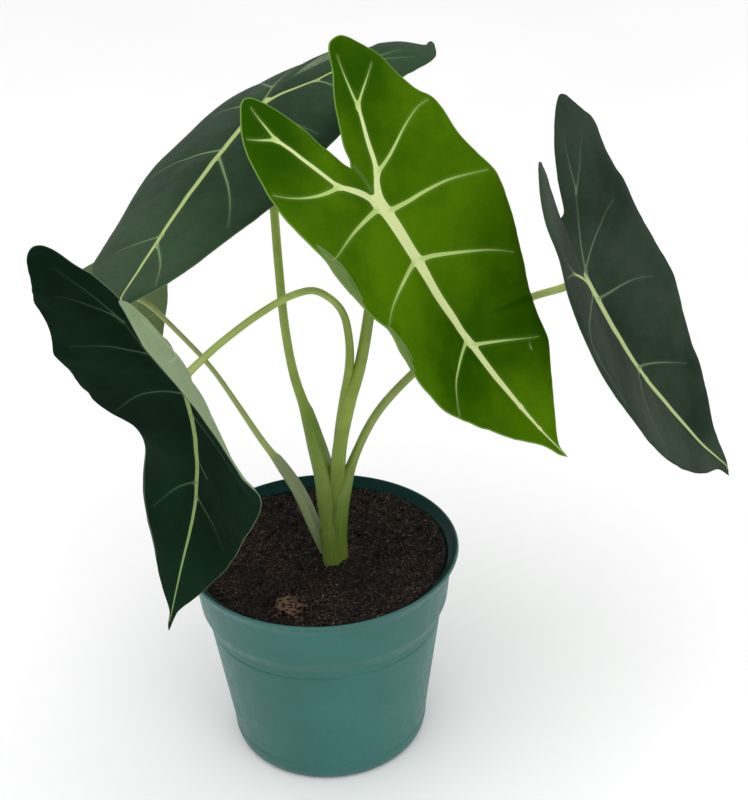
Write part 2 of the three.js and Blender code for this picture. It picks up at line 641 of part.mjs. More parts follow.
// The front leaf's stalk carries the crown, deep in the soil. The hanging one springs from it above
// the soil, and the others stand beside it.
const crown = PETIOLES.front;
const [crownX, crownY, crownZ] = crown.path[0];
crown.path.unshift([crownX, crownY, crownZ - STEM.soilDepth]);
const stalks = {};
let soil = soilSolid();
for (const [name, petiole] of Object.entries(PETIOLES)) {
  const end = [LEAVES[name].seat];
  let stalk = solidOf(stalkGeometry(petiole, end));
  for (const other of Object.keys(stalks)) {
    stalk = stalk.subtract(solidOf(stalkGeometry(PETIOLES[other], [LEAVES[other].seat], GAP)));
  }
  soil = soil.subtract(solidOf(stalkGeometry(petiole, end, GAP)));
  stalks[name] = stalk.subtract(solidOf(bladeGeometry(name, GAP)));
}

addPiece("pot", potSolid(), plastic);
addPiece("soil", largestBody(soil), earth);
for (const name of Object.keys(LEAVES)) {
  addPiece("petiole_" + name, largestBody(stalks[name]), green);
  addPiece("blade_" + name, solidOf(bladeGeometry(name)), name === "front" ? fresh : dark);
}

export default part;
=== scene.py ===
"""Looks of the potted alocasia: finer leaves, petioles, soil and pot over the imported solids.

Lengths are in millimetres until a mesh is written, in the part's frame: +Z up, -Y to the viewer.
"""
import math

import bpy
import numpy as np
from mathutils import Matrix, Vector
from mathutils.geometry import delaunay_2d_cdt


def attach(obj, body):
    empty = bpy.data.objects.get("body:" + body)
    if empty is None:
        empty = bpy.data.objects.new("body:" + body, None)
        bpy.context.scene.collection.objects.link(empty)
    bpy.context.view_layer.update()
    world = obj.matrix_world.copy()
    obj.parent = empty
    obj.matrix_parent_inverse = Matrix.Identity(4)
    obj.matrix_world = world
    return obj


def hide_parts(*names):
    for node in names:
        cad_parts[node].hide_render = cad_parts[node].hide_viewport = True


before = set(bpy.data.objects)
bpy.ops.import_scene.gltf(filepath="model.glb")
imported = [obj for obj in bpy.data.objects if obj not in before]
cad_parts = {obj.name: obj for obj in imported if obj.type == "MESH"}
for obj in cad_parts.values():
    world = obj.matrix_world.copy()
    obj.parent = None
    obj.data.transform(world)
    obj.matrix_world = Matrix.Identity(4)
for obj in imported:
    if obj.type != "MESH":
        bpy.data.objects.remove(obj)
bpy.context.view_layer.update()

MM = 0.001
SEED = 11

# Leaf poses as in the solids: the seat on the petiole, then degrees, with widths as shares of length
LEAVES = {
    "front": {
        "seat": (24, -24, 225), "heading": 83, "pitch": -57, "roll": 32, "length": 109.5,
        "width": 0.358, "lobe": 0.48,
        "spine": {"bend": 31, "bend_tip": -53, "lobe_bend": -9, "side": -1, "twist": 2},
        "right": {"fold": (17, 14, 0), "curl": (2, -8, -10), "wave": (0.3, 139), "bump": (3.9, 0.28)},
        "left": {"fold": (18, 24, 7), "curl": (-7, -5, -11), "wave": (0.3, -155), "bump": (5.1, 0.19)},
    },
    "upper_left": {
        "seat": (-13.5, 29.5, 241.5), "heading": -38, "pitch": -23, "roll": 8, "length": 114.5,
        "width": 0.362, "lobe": 0.53,
        "spine": {"bend": -1, "bend_tip": -15, "lobe_bend": 18, "side": -38, "twist": -1},
        "right": {"fold": (-9, -2, -26), "curl": (-12, -12, -12), "wave": (0.6, -88), "bump": (-1.9, 0.41)},
        "left": {"fold": (4, -7, -3), "curl": (-12, -1, -11), "wave": (0.3, -120), "bump": (0, 0.3)},
    },
    "hanging": {
        "seat": (-35, -67.5, 184), "heading": -9, "pitch": -118, "roll": -180, "length": 105.5,
        "width": 0.335, "lobe": 0.7,
        "spine": {"bend": -18, "bend_tip": -37, "lobe_bend": 11, "side": 24, "twist": 30},
        "right": {"fold": (-13, -18, 0), "curl": (-10, -11, 0), "wave": (5.2, -115), "bump": (13.2, 0.03)},
        "left": {"fold": (45, 21, 96), "curl": (20, 2, 4), "wave": (0.9, -175), "bump": (-7.0, 0.19)},
    },
    "right": {
        "seat": (94.5, 3.5, 185.5), "heading": 109, "pitch": -64, "roll": 39, "length": 114.5,
        "width": 0.35, "lobe": 0.51,
        "spine": {"bend": -15, "bend_tip": 1, "lobe_bend": -13, "side": -10, "twist": 4},
        "right": {"fold": (18, 13, 14), "curl": (-8, -3, -10), "wave": (0.2, -14), "bump": (0.9, 0.35)},
        "left": {"fold": (21, 15, 16), "curl": (-5, -2, 2), "wave": (0.1, 0), "bump": (1.7, 0.31)},
    },
    "back_left": {
        "seat": (-66, 40, 169), "heading": -156, "pitch": -59, "roll": -23, "length": 83.5,
        "width": 0.309, "lobe": 0.42,
        "spine": {"bend": 20, "bend_tip": -6, "lobe_bend": 18, "side": 0, "twist": 7},
        "right": {"fold": (20, 13, 20), "curl": (-2, -3, -4), "wave": (0.3, 0), "bump": (0, 0.3)},
        "left": {"fold": (33, 20, 22), "curl": (0, 0, 0), "wave": (0.3, 40), "bump": (0, 0.3)},
    },
}

# Margins as in the solids, from the notch round each lobe to the tip: u and v in turn, u along the
# midrib and v across, in thousandths of the blade's length
MARGINS = {
    "front": {
        "right": [-131, 0, -161, 19, -217, 40, -242, 53, -294, 67, -396, 115, -454, 150, -469, 164, -479, 180,
            -483, 194, -478, 209, -468, 221, -423, 257, -375, 283, -281, 318, -252, 331, -152, 364, -120, 372,
            -77, 377, -38, 378, 1, 385, 84, 371, 168, 361, 217, 343, 234, 346, 286, 367, 328, 359, 377, 341,
            470, 303, 535, 285, 569, 271, 654, 219, 734, 164, 778, 137, 830, 101, 911, 39, 943, 25, 973, 17,
            1000, 0],
        "left": [-131, 0, -149, 10, -185, 17, -266, 54, -320, 84, -372, 122, -424, 151, -436, 161, -443, 172,
            -445, 188, -443, 205, -435, 224, -401, 257, -318, 308, -297, 312, -188, 327, -133, 356, -107, 361,
            -81, 362, 6, 355, 132, 365, 155, 365, 249, 349, 283, 346, 326, 339, 401, 318, 441, 304, 521, 269,
            600, 243, 666, 227, 694, 217, 716, 203, 753, 175, 828, 117, 896, 61, 944, 20, 961, 9, 1000, 0],
    },
    "upper_left": {
        "right": [-160, 0, -200, 18, -260, 40, -330, 66, -400, 95, -470, 125, -500, 153, -512, 177, -500, 210,
            -462, 250, -380, 300, -280, 333, -170, 352, -50, 362, 70, 372, 180, 366, 280, 348, 393, 328,
            474, 293, 554, 262, 651, 230, 700, 204, 764, 150, 830, 107, 900, 58, 955, 20, 1000, 0],
        "left": [-160, 0, -200, 15, -270, 36, -330, 58, -403, 86, -436, 85, -467, 97, -499, 118, -555, 186,
            -573, 175, -586, 172, -585, 186, -542, 258, -514, 276, -434, 299, -388, 310, -360, 314, -260, 338,
            -150, 358, 0, 366, 150, 360, 280, 343, 380, 323, 474, 298, 570, 259, 651, 219, 732, 178, 804, 140,
            870, 103, 930, 56, 965, 20, 1000, 0],
    },
    "hanging": {
        "right": [-160, 0, -200, 10, -260, 26, -330, 45, -410, 64, -478, 82, -540, 100, -655, 143, -690, 163,
            -698, 183, -685, 205, -640, 226, -580, 247, -520, 272, -460, 305, -400, 330, -280, 322, -190, 331,
            -90, 334, 6, 327, 119, 333, 200, 328, 260, 300, 319, 239, 356, 236, 444, 254, 484, 258, 542, 257,
            572, 250, 600, 238, 680, 197, 745, 161, 804, 133, 859, 98, 926, 31, 946, 16, 985, 8, 1000, 0],
        "left": [-160, 0, -200, 4, -240, 14, -340, 87, -408, 104, -504, 134, -542, 154, -564, 179, -527, 193,
            -478, 225, -460, 240, -434, 249, -351, 283, -300, 305, -180, 327, -50, 335, 60, 334, 186, 322,
            305, 323, 369, 307, 479, 259, 549, 231, 604, 208, 675, 179, 734, 148, 818, 97, 918, 24, 934, 14,
            1000, 0],
    },
    "right": {
        "right": [-220, 0, -251, 13, -327, 38, -354, 43, -405, 74, -436, 87, -466, 115, -506, 161, -522, 208,
            -519, 225, -506, 233, -470, 266, -444, 284, -414, 293, -385, 298, -291, 282, -263, 283, -228, 310,
            -208, 330, -166, 345, -91, 367, 3, 378, 37, 379, 151, 366, 229, 345, 346, 320, 462, 290, 561, 255,
            658, 211, 754, 157, 813, 118, 855, 86, 928, 21, 954, 7, 1000, 0],
        "left": [-220, 0, -224, 26, -277, 40, -310, 43, -398, 62, -447, 78, -494, 98, -535, 121, -550, 136,
            -552, 149, -541, 171, -512, 200, -436, 259, -398, 289, -370, 302, -347, 308, -310, 311, -195, 326,
            -117, 347, -74, 351, 22, 349, 137, 350, 254, 347, 296, 345, 337, 341, 384, 329, 498, 288,
            585, 251, 659, 228, 713, 197, 762, 163, 849, 95, 944, 47, 967, 34, 1000, 0],
    },
    "back_left": {
        "right": [-140, 0, -210, 24, -290, 57, -360, 93, -410, 125, -420, 150, -410, 185, -370, 226,
            -280, 272, -180, 298, -60, 309, 80, 310, 200, 301, 320, 286, 440, 258, 560, 218, 680, 163,
            800, 98, 900, 44, 955, 18, 1000, 0],
        "left": [-140, 0, -200, 24, -270, 57, -330, 93, -370, 125, -380, 150, -370, 185, -330, 226, -250, 272,
            -160, 298, -50, 309, 80, 310, 200, 301, 320, 286, 440, 258, 560, 218, 680, 163, 800, 98, 900, 44,
            955, 18, 1000, 0],
    },
}
BLADE_HALF = 0.4
EDGE_HALF = 0.17
MIDRIB_DEPTH = 1.6
SIDE_RIB_DEPTH = 0.5
QUILT = 0.5
EDGE_WIDTH = 1.6
QUILT_REACH = 4.5
QUILT_EDGE = 5
MIDRIB_RISE = 0.22
SIDE_VEIN_SINK = 0.1
FRAME_STEPS = 480
# Waves along a blade, and the reach of its one bump as a share of length
RIPPLES = 2.2
BUMP_REACH = 0.14
MARGIN_STRIDE = 0.6
# Rows of points inside the margin as (depth in mm, step), and beside the veins in mm
MARGIN_ROWS = ((0.3, 1), (0.75, 1), (1.5, 2))
VEIN_ROWS = (0.3, 0.8)
VEIN_STRIDE = 0.5
FILL_STRIDE = 1.3
# Smooth unevenness as (height, cell) in mm
MARGIN_NOISE = ((0.22, 7), (0.1, 2.5))
SOIL_NOISE = ((0.55, 2.6), (0.42, 1.2))
CLOD_NOISE = ((0.26, 1.3), (0.2, 0.5))

# Veins of each blade's halves: half-widths in mm at root and end, then the route as in MARGINS
VEINS = {
    "front": {
        "middle": [
            ("main", 2.3, 0.62, [-10, 2, 10, -6, 64, -10, 174, -7, 207, -8, 297, -2, 350, -1, 413, -3,
                471, -2, 524, -6, 589, -7, 662, -9, 723, -10, 783, -9]),
            ("main", 0.62, 0.3, [783, -9, 830, -8, 875, -6]),
            ("main", 0.3, 0.1, [875, -6, 961, -1, 985, 1]),
        ],
        "right": [
            ("main", 1.5, 0.75, [20, -4, -36, 16, -127, 103]),
            ("main", 0.75, 0.5, [-127, 103, -152, 114, -259, 150, -293, 160, -343, 180]),
            ("side", 0.5, 0.12, [-343, 180, -454, 189]),
            ("side", 0.5, 0.12, [-343, 180, -379, 233, -397, 256]),
            ("side", 0.75, 0.14, [-126, 104, -144, 163, -163, 209, -189, 255, -221, 295, -247, 318]),
            ("side", 0.95, 0.14, [16, -8, 6, 37, -10, 153, -15, 214, -19, 327, -24, 353]),
            ("side", 0.95, 0.14, [206, -4, 204, 68, 204, 180, 205, 240, 215, 322]),
            ("side", 0.75, 0.12, [505, -3, 515, 65, 526, 111, 540, 152, 564, 190, 589, 217, 616, 236]),
        ],
        "left": [
            ("main", 1.5, 0.8, [27, 12, -5, 19, -31, 30, -51, 43, -70, 59]),
            ("main", 0.8, 0.5, [-70, 59, -105, 75, -151, 90, -250, 130]),
            ("side", 0.5, 0.12, [-250, 130, -341, 151, -400, 170]),
            ("side", 0.5, 0.12, [-250, 130, -269, 161, -317, 263]),
            ("side", 0.7, 0.12, [-69, 60, -82, 118, -116, 214, -129, 262, -134, 299, -130, 340]),
            ("side", 0.9, 0.14, [33, 4, 44, 44, 55, 94, 62, 138, 84, 230, 101, 273, 135, 348]),
            ("side", 0.85, 0.14, [208, 7, 225, 52, 245, 88, 295, 168, 327, 215, 359, 254, 394, 289]),
            ("side", 0.7, 0.12, [521, -2, 582, 90, 644, 174, 660, 197]),
        ],
    },
    "upper_left": {
        "middle": [
            ("main", 1.35, 0.14, [-30, 0, 200, 0, 500, 5, 700, 10, 850, 20, 930, 22, 985, 4]),
        ],
        "right": [
            ("side", 0.5, 0.25, [10, 0, -75, 32, -200, 90, -300, 135]),
            ("side", 0.4, 0.1, [-300, 135, -380, 150, -470, 165]),
            ("side", 0.4, 0.1, [-300, 135, -340, 180, -380, 240]),
            ("side", 0.4, 0.1, [-100, 45, -130, 120, -170, 210, -200, 300]),
            ("side", 0.5, 0.1, [10, 0, -10, 80, -20, 180, -20, 300]),
            ("side", 0.5, 0.1, [205, 0, 203, 81, 207, 177, 215, 242, 230, 320]),
            ("side", 0.4, 0.1, [611, 5, 612, 81, 617, 160]),
        ],
        "left": [
            ("main", 0.95, 0.5, [10, 0, -51, 32, -99, 77, -144, 113]),
            ("main", 0.5, 0.38, [-144, 113, -196, 126, -260, 143, -330, 160]),
            ("side", 0.38, 0.1, [-330, 160, -390, 165, -460, 172]),
            ("side", 0.38, 0.1, [-330, 160, -390, 203, -460, 236]),
            ("side", 0.5, 0.1, [-144, 113, -144, 153, -135, 200, -130, 280]),
            ("side", 0.5, 0.1, [30, 0, 50, 97, 80, 194, 120, 300]),
            ("side", 0.55, 0.1, [250, 14, 285, 43, 333, 79, 385, 114, 443, 144, 494, 164, 551, 181,
                605, 194]),
            ("side", 0.45, 0.1, [653, -3, 695, 17, 746, 37, 798, 51, 895, 64]),
        ],
    },
    "hanging": {
        "middle": [
            ("main", 1.05, 0.14, [20, 1, 53, 3, 126, 3, 209, 4, 290, 5, 368, 4, 429, 5, 486, 3, 599, 6,
                720, 12, 818, 12, 859, 11, 934, 6, 970, 4]),
        ],
        "right": [
            ("side", 0.4, 0.25, [10, 0, -80, 40, -200, 70, -333, 92]),
            ("side", 0.2, 0.05, [-333, 92, -420, 120, -530, 150, -610, 170]),
            ("side", 0.3, 0.08, [-333, 92, -373, 118, -430, 175, -480, 226]),
            ("side", 0.45, 0.1, [-180, 66, -200, 113, -223, 177, -234, 275]),
            ("side", 0.55, 0.1, [-7, -15, 7, 23, 13, 55, 23, 88, 43, 124, 69, 157, 116, 197, 170, 233,
                235, 271]),
            ("side", 0.45, 0.1, [435, 5, 466, 41, 513, 83, 605, 147, 647, 174]),
        ],
        "left": [
            ("main", 0.8, 0.4, [10, 0, -80, 40, -180, 80, -280, 110]),
            ("side", 0.4, 0.1, [-280, 110, -360, 130, -470, 150]),
            ("side", 0.4, 0.1, [-280, 110, -320, 160, -370, 220]),
            ("side", 0.4, 0.1, [-100, 50, -130, 140, -160, 260]),
            ("side", 0.5, 0.1, [112, 0, 115, 48, 127, 105, 151, 161, 186, 226, 203, 280]),
            ("side", 0.45, 0.1, [495, -1, 510, 32, 525, 73, 543, 109, 591, 166]),
        ],
    },
    "right": {
        "middle": [
            ("main", 1.5, 0.85, [0, 0, 40, -2, 100, -4, 250, -5, 400, -4, 455, -4]),
            ("main", 0.85, 0.14, [455, -4, 575, -11, 705, -13, 824, -13, 925, -19, 965, -20, 990, -12]),
        ],
        "right": [
            ("main", 0.8, 0.3, [30, -1, -20, 42, -79, 107, -132, 166]),
            ("side", 0.4, 0.1, [-132, 166, -157, 181, -211, 207]),
            ("side", 0.4, 0.1, [-132, 166, -177, 239, -207, 296]),
            ("side", 0.5, 0.1, [60, 12, 52, 40, 8, 150, -16, 238, -20, 298, -9, 332, 21, 341, 65, 335,
                153, 329, 204, 319, 253, 313]),
            ("side", 0.45, 0.1, [405, -2, 404, 47, 409, 94, 421, 128, 443, 156, 473, 178, 512, 196,
                552, 211]),
        ],
        "left": [
            ("side", 0.45, 0.25, [17, -4, -11, 14, -80, 40, -192, 87, -220, 96, -240, 106]),
            ("side", 0.3, 0.06, [-240, 106, -263, 111, -344, 116, -417, 122]),
            ("side", 0.3, 0.06, [-240, 106, -278, 146, -373, 217]),
            ("side", 0.5, 0.1, [4, 9, -16, 24, -31, 45, -46, 74, -61, 111, -71, 140, -88, 210, -91, 242,
                -91, 266]),
            ("side", 0.6, 0.1, [87, -7, 109, 39, 153, 137, 180, 184, 213, 226, 249, 265]),
            ("side", 0.5, 0.1, [395, 0, 417, 33, 447, 65, 480, 95, 552, 151, 595, 181]),
        ],
    },
    "back_left": {
        "middle": [
            ("main", 1.1, 0.12, [-30, 0, 300, 0, 650, 0, 980, 0]),
        ],
        "right": [
            ("main", 0.8, 0.4, [10, 0, -80, 45, -170, 85, -260, 115]),
            ("side", 0.35, 0.1, [-260, 115, -310, 130, -370, 140]),
            ("side", 0.35, 0.1, [-260, 115, -290, 155, -310, 200]),
            ("side", 0.45, 0.1, [-80, 45, -110, 120, -150, 250]),
            ("side", 0.5, 0.1, [20, 0, 50, 120, 90, 260]),
            ("side", 0.5, 0.1, [220, 0, 270, 90, 360, 230]),
            ("side", 0.45, 0.1, [520, 0, 580, 75, 660, 150]),
        ],
        "left": [
            ("main", 0.8, 0.4, [10, 0, -70, 45, -150, 85, -230, 115]),
            ("side", 0.35, 0.1, [-230, 115, -280, 130, -330, 140]),
            ("side", 0.35, 0.1, [-230, 115, -260, 155, -280, 200]),
            ("side", 0.45, 0.1, [-70, 45, -100, 120, -130, 250]),
            ("side", 0.5, 0.1, [40, 0, 70, 120, 110, 260]),
            ("side", 0.5, 0.1, [250, 0, 300, 90, 390, 220]),
            ("side", 0.45, 0.1, [550, 0, 610, 75, 690, 140]),
        ],
    },
}
VEIN_FILLET = 0.4
TAPER = {"main": 1.4, "side": 0.8}

# Marks on the upper sides, painted light among them: strength (pale above zero, dark below), half-widths at
# both ends and softness in mm, then the route as in MARGINS with v to the right
MARKS_AND_PAINTED_LIGHT = {
    "front": [
        # Broad pale bands along the margin: partly painted sheen, partly the paler underside of a rolled
        # margin
        (0.6, (0.1, 2.6), 0.8, [-80, 366, -30, 364, 20, 364]),
        (0.6, (2.6, 0.3), 0.8, [20, 364, 80, 363, 130, 362]),
        (0.9, (0.25, 0.25), 0.4, [-80, 360, -30, 346, 10, 338, 51, 338, 109, 352]),
        # Broad pale bands again: partly painted sheen, partly the paler underside of a rolled margin
        (0.6, (0.3, 2.2), 0.8, [215, 338, 250, 347, 285, 352]),
        (0.6, (2.2, 0.3), 0.8, [285, 352, 330, 346, 373, 330]),
        (0.9, (0.25, 0.25), 0.4, [215, 335, 250, 330, 291, 328, 340, 326]),
        (0.25, (0.5, 0.5), 1.0, [-131, -11, -90, -14, -45, -13]),
        # A dark line of painted shade over a crease
        (-0.3, (0.3, 1.2), 1.8, [492, -115, 518, -184, 543, -242, 552, -262]),
        (0.8, (0.4, 0.4), 0.3, [661, -157, 666, -155, 671, -153]),
    ],
    "upper_left": [],
    "hanging": [
        (0.45, (0.3, 0.3), 0.3, [341, -9, 350, -34, 358, -58]),
        (0.5, (0.3, 0.3), 0.5, [450, 249, 540, 252, 600, 232, 680, 192, 745, 156, 804, 128]),
    ],
    "right": [],
    "back_left": [],
}

# Soft patches of painted light and painted shade, lighter above zero and darker below: centre (u, v), radius
# as a share of length, then amount
PAINTED_LIGHT_PATCHES = {
    "front": [
        (0.12, 0.13, 0.12, 0.7), (0.5, -0.2, 0.15, -0.22), (0.52, 0.12, 0.18, -0.3), (0.85, -0.03, 0.12, 0.1),
        (-0.1, -0.25, 0.18, 0.15), (-0.3, -0.2, 0.12, -0.25), (-0.4, 0.18, 0.13, -0.55),
    ],
    "upper_left": [
        (0.75, 0.1, 0.2, 0.35), (-0.45, -0.2, 0.16, 0.35), (0.3, -0.2, 0.25, -0.2), (0.8, -0.08, 0.15, 0.2),
    ],
    "hanging": [
        (0.9, 0.0, 0.15, 0.5), (0.75, -0.1, 0.15, 0.2), (0.36, 0.08, 0.14, 0.35),
    ],
    "right": [
        (-0.45, 0.2, 0.16, 0.6), (0.5, 0.15, 0.2, 0.2), (-0.4, -0.15, 0.15, 0.2), (0.95, 0.03, 0.12, 0.9),
        (0.77, -0.07, 0.14, -0.42),
    ],
    "back_left": [],
}

# Each leaf's colours in 8-bit sRGB, then sheen, roughness and specular level
LOOK_KEYS = ("shade", "light", "pale", "main_vein", "side_vein", "margin", "under", "under_vein", "sheen",
             "rough", "gloss")
LEAF_LOOKS = {
    "front": ((34, 70, 0), (74, 111, 4), (112, 130, 84), (196, 207, 146), (164, 188, 108), (104, 136, 58),
        (104, 130, 78), (140, 162, 100), 0.0, 0.55, 0.01),
    "upper_left": ((20, 42, 26), (48, 70, 46), (110, 130, 96), (160, 178, 112), (100, 126, 84), (52, 74, 54),
        (104, 128, 90), (140, 160, 112), 0.02, 0.62, 0.04),
    "hanging": ((9, 25, 15), (20, 42, 27), (124, 140, 116), (130, 152, 94), (52, 76, 54), (20, 40, 27),
        (124, 142, 108), (142, 158, 126), 0.0, 0.8, 0.01),
    "right": ((18, 34, 22), (48, 62, 48), (110, 124, 96), (166, 182, 124), (84, 104, 78), (28, 42, 32),
        (102, 122, 84), (132, 152, 106), 0.02, 0.62, 0.04),
    "back_left": ((24, 46, 30), (46, 70, 46), (104, 124, 92), (140, 160, 98), (86, 110, 74), (50, 72, 54),
        (88, 107, 67), (108, 126, 76), 0.02, 0.62, 0.04),
}

# Petioles as in the solids: points from the crown up, then [share of length, radius] pairs
PETIOLES = {
    "front": {
        "path": [(5.6, -3.2, 54.6), (5.6, -3.2, 74.6), (5.2, -2.7, 85.5), (6.5, -4, 104), (8.6, -7.1, 128),
                 (12.9, -9.4, 147.6), (16.5, -10.9, 160.2), (20, -14, 179), (23.2, -19, 204),
                 (24.3, -22.5, 218)],
        "radius": [(0, 3.8), (0.17, 3.7), (0.25, 3.2), (0.4, 2.6), (0.6, 2.1), (1, 1.6)],
        "sheath": 0,
    },
    "upper_left": {
        "path": [(3.9, -4.6, 70), (3.6, -4.9, 80), (3.4, -5, 90.8), (2.9, -4.1, 101.6), (2.3, -2.5, 113.1),
                 (-0.4, 0.5, 126), (-3.4, 3.8, 138), (-6.8, 6.5, 150.5), (-9.1, 10, 167), (-10.2, 14.2, 190),
                 (-11, 20, 212), (-12.8, 26.5, 233)],
        "radius": [(0, 3), (0.12, 3.1), (0.18, 3.5), (0.24, 3.7), (0.31, 3.3), (0.37, 2.5), (0.41, 1.85),
                   (0.5, 1.6), (1, 1.5)],
        "sheath": 0.4,
    },
    "hanging": {
        "path": [(6.9, -3.3, 113.1), (8.7, -5.9, 132.1), (11.2, -8, 148.5), (13.2, -11.2, 161.1),
                 (13.7, -15, 173), (12.1, -20.5, 186.5), (8.5, -23.9, 193.3), (3, -27.3, 198),
                 (-4, -31.8, 198.4), (-12, -38.5, 196.8), (-21, -48, 194.3), (-30, -59.5, 191.2),
                 (-35.2, -66.8, 188)],
        "radius": [(0, 2.1), (0.2, 1.9), (0.4, 1.4), (0.55, 1.2), (1, 1.15)],
        "sheath": 0,
    },
    "right": {
        "path": [(7.2, -5, 70), (7, -5.4, 80), (6.9, -5.8, 89), (7.9, -5.9, 100.2), (9.8, -5.3, 110.7),
                 (13.9, -3, 122.2), (22.2, -0.5, 137.6), (35.9, 0.8, 152.9), (55.5, 2.1, 169.2),
                 (76.8, 2.8, 179.2), (88, 3.1, 182.4)],
        "radius": [(0, 2.8), (0.11, 2.8), (0.25, 2.7), (0.29, 2.1), (0.34, 1.6), (1, 1.3)],
        "sheath": 0.3,
    },
    "back_left": {
        "path": [(3.7, -0.8, 72.6), (1.2, -0.4, 80.1), (-2.6, 0.7, 90.5), (-7.9, 3.9, 103.7),
                 (-14.6, 7.7, 114), (-20.6, 11.1, 121.9), (-27.9, 15.9, 132.6), (-37.9, 22.9, 146.1),
                 (-49.9, 30.1, 157.7), (-60, 36, 166)],
        "radius": [(0, 2.3), (0.2, 2.4), (0.34, 2), (0.4, 1.3), (0.5, 1.15), (0.65, 0.95), (1, 0.95)],
        "sheath": 0.38,
    },
}
# Changes of a petiole's colour on its way up, partly its own paler colour towards the blade and partly
# painted light on lit stretches: shares of length, strength, then 8-bit sRGB
STALK_TINTS_AND_PAINTED_LIGHT = {
    "front": [(0.8, 1.0, 0.5, (160, 174, 110))],
    "upper_left": [
        (0.26, 0.33, 0.8, (94, 124, 38)), (0.36, 0.44, 0.9, (142, 168, 70)),
        (0.45, 0.52, 0.9, (162, 184, 86)), (0.68, 0.8, 0.9, (182, 204, 98)),
    ],
    "hanging": [
        (0.47, 0.58, 0.9, (186, 204, 112)), (0.66, 0.76, 0.9, (148, 164, 86)),
        (0.88, 1.0, 1.0, (172, 180, 112)),
    ],
    "right": [(0.3, 0.45, 0.9, (148, 164, 88)), (0.6, 0.72, 0.9, (206, 220, 130))],
    "back_left": [(0.34, 0.42, 0.95, (160, 168, 104)), (0.7, 0.9, 0.8, (146, 156, 98))],
}
STALK_SIDES = 28
STALK_STRIDE = 1.6
# The sheath's raised margins: height in mm, then place and spread in degrees from its open side
SHEATH_RIDGE = 0.55
SHEATH_ANGLE = 38
SHEATH_SPREAD = 13
CROWN = (5.4, -3.0, 0)
SEAT_DEPTH = 1.1
FLARE = {"height": 0.7, "reach": 3.5}
BASE = {"radius": {"upper_left": 3.4, "right": 2.8}, "power": 10, "full": 92, "top": 104}

POT = {
    "height": 82, "rim": 51, "lip_width": 2.6, "lip_height": 3.2, "band_top": 48.2, "band_foot": 46.6,
    "band_foot_z": 61.5, "shoulder": 44.3, "shoulder_z": 57.5, "crease_z": 54, "crease": 0.5,
    "foot": 37.4, "foot_rise": 4, "floor": 33, "wall": 1.5,
}
POT_SIDES = 240
DRAIN = {"count": 6, "radius": 3.5, "circle": 25, "sides": 48}

SOIL = {"radius": 46, "gap": 0.3, "level": 78.4, "dip": 1.5, "tilt": 0.024, "lump": 0.9, "crumb": 0.6}
CLOD = {"x": -11, "y": -31, "size": (5.2, 4.4, 3.0), "sides": 40, "rings": 24, "crumbs": 26}
MOUND = {"x": 5, "y": -4, "height": 2.4, "radius": 10}
SOIL_RINGS = 120
SOIL_SIDES = 360
CRUMBS = 5200
FIBRES = 60
FIBRE_RADIUS = 0.075

# The camera that the photograph was taken with, solved from the pot
CAMERA_TARGET = Vector((21.3, 263.8, 0))
CAMERA_DISTANCE = 830.8
CAMERA_DOWN = 28.4
CAMERA_ROLL = -2.0
FOCAL_PIXELS = 1500
IMAGE_HEIGHT = 800
SENSOR = 36

FLOOR_REACH = 12000
WORLD_STRENGTH = 0.93
# Lights: place in metres, size and power, all turned to a point over the pot
LIGHTS = {"key": ((-0.2, -0.6, 1.8), 2.0, 11), "fill": ((0.9, -1.2, 1.0), 1.2, 4.2)}
LIT_POINT = Vector((0, 0, 0.12))


def smoothstep(low, high, x):
    t = np.clip((np.asarray(x, float) - low) / (high - low), 0, 1)
    return t * t * (3 - 2 * t)


def srgb(colour):
    """8-bit sRGB to the linear RGBA that a shader takes."""
    linear = [c / 255 / 12.92 if c <= 10 else ((c / 255 + 0.055) / 1.055) ** 2.4 for c in colour]
    return (*linear, 1)


def value_noise(points, cell, seed):
    """Smooth noise from -1 to 1 at 2-D points, with one random value for each cell corner."""
    rng = np.random.default_rng(seed)
    lattice = rng.uniform(-1, 1, (256, 256))
    grid = np.asarray(points, float) / cell + 1000
    base = np.floor(grid).astype(int)
    x, y = (grid - base).T
    x, y = x * x * (3 - 2 * x), y * y * (3 - 2 * y)
    i, j = base.T % 256
    near = lattice[i, j] * (1 - x) + lattice[(i + 1) % 256, j] * x
    far = lattice[i, (j + 1) % 256] * (1 - x) + lattice[(i + 1) % 256, (j + 1) % 256] * x
    return near * (1 - y) + far * y


def noise_sum(points, layers, seed):
    """Layers of smooth noise as (height, cell), each with the next seed."""
    return sum(height * value_noise(points, cell, seed + i) for i, (height, cell) in enumerate(layers))


def unit(rows):
    """The rows scaled to length one."""
    return rows / np.linalg.norm(rows, axis=1)[:, None]


def sideways(steps):
    """Flat unit vectors at a right angle to the steps."""
    return unit(steps[:, ::-1] * (1, -1))


def circle(sides):
    """Cosines and sines of even steps round a circle."""
    angles = 2 * math.pi * np.arange(sides) / sides
    return np.cos(angles), np.sin(angles)


def ring_points(radius, z, sides):
    x, y = circle(sides)
    return np.column_stack([x * radius, y * radius, np.full(sides, z)])


# Meshes
def ring_faces(rings, sides, turned=False):
    """Quads between rings of points, and fans to the two points that follow the last ring."""
    ids = np.arange(rings * sides).reshape(rings, sides)
    after = np.roll(ids, -1, axis=1)
    faces = np.stack([ids[:-1], after[:-1], after[1:], ids[1:]], -1).reshape(-1, 4).tolist()
    faces += [[rings * sides, b, a] for a, b in zip(ids[0], after[0])]
    faces += [[rings * sides + 1, a, b] for a, b in zip(ids[-1], after[-1])]
    return [face[:1] + face[:0:-1] for face in faces] if turned else faces


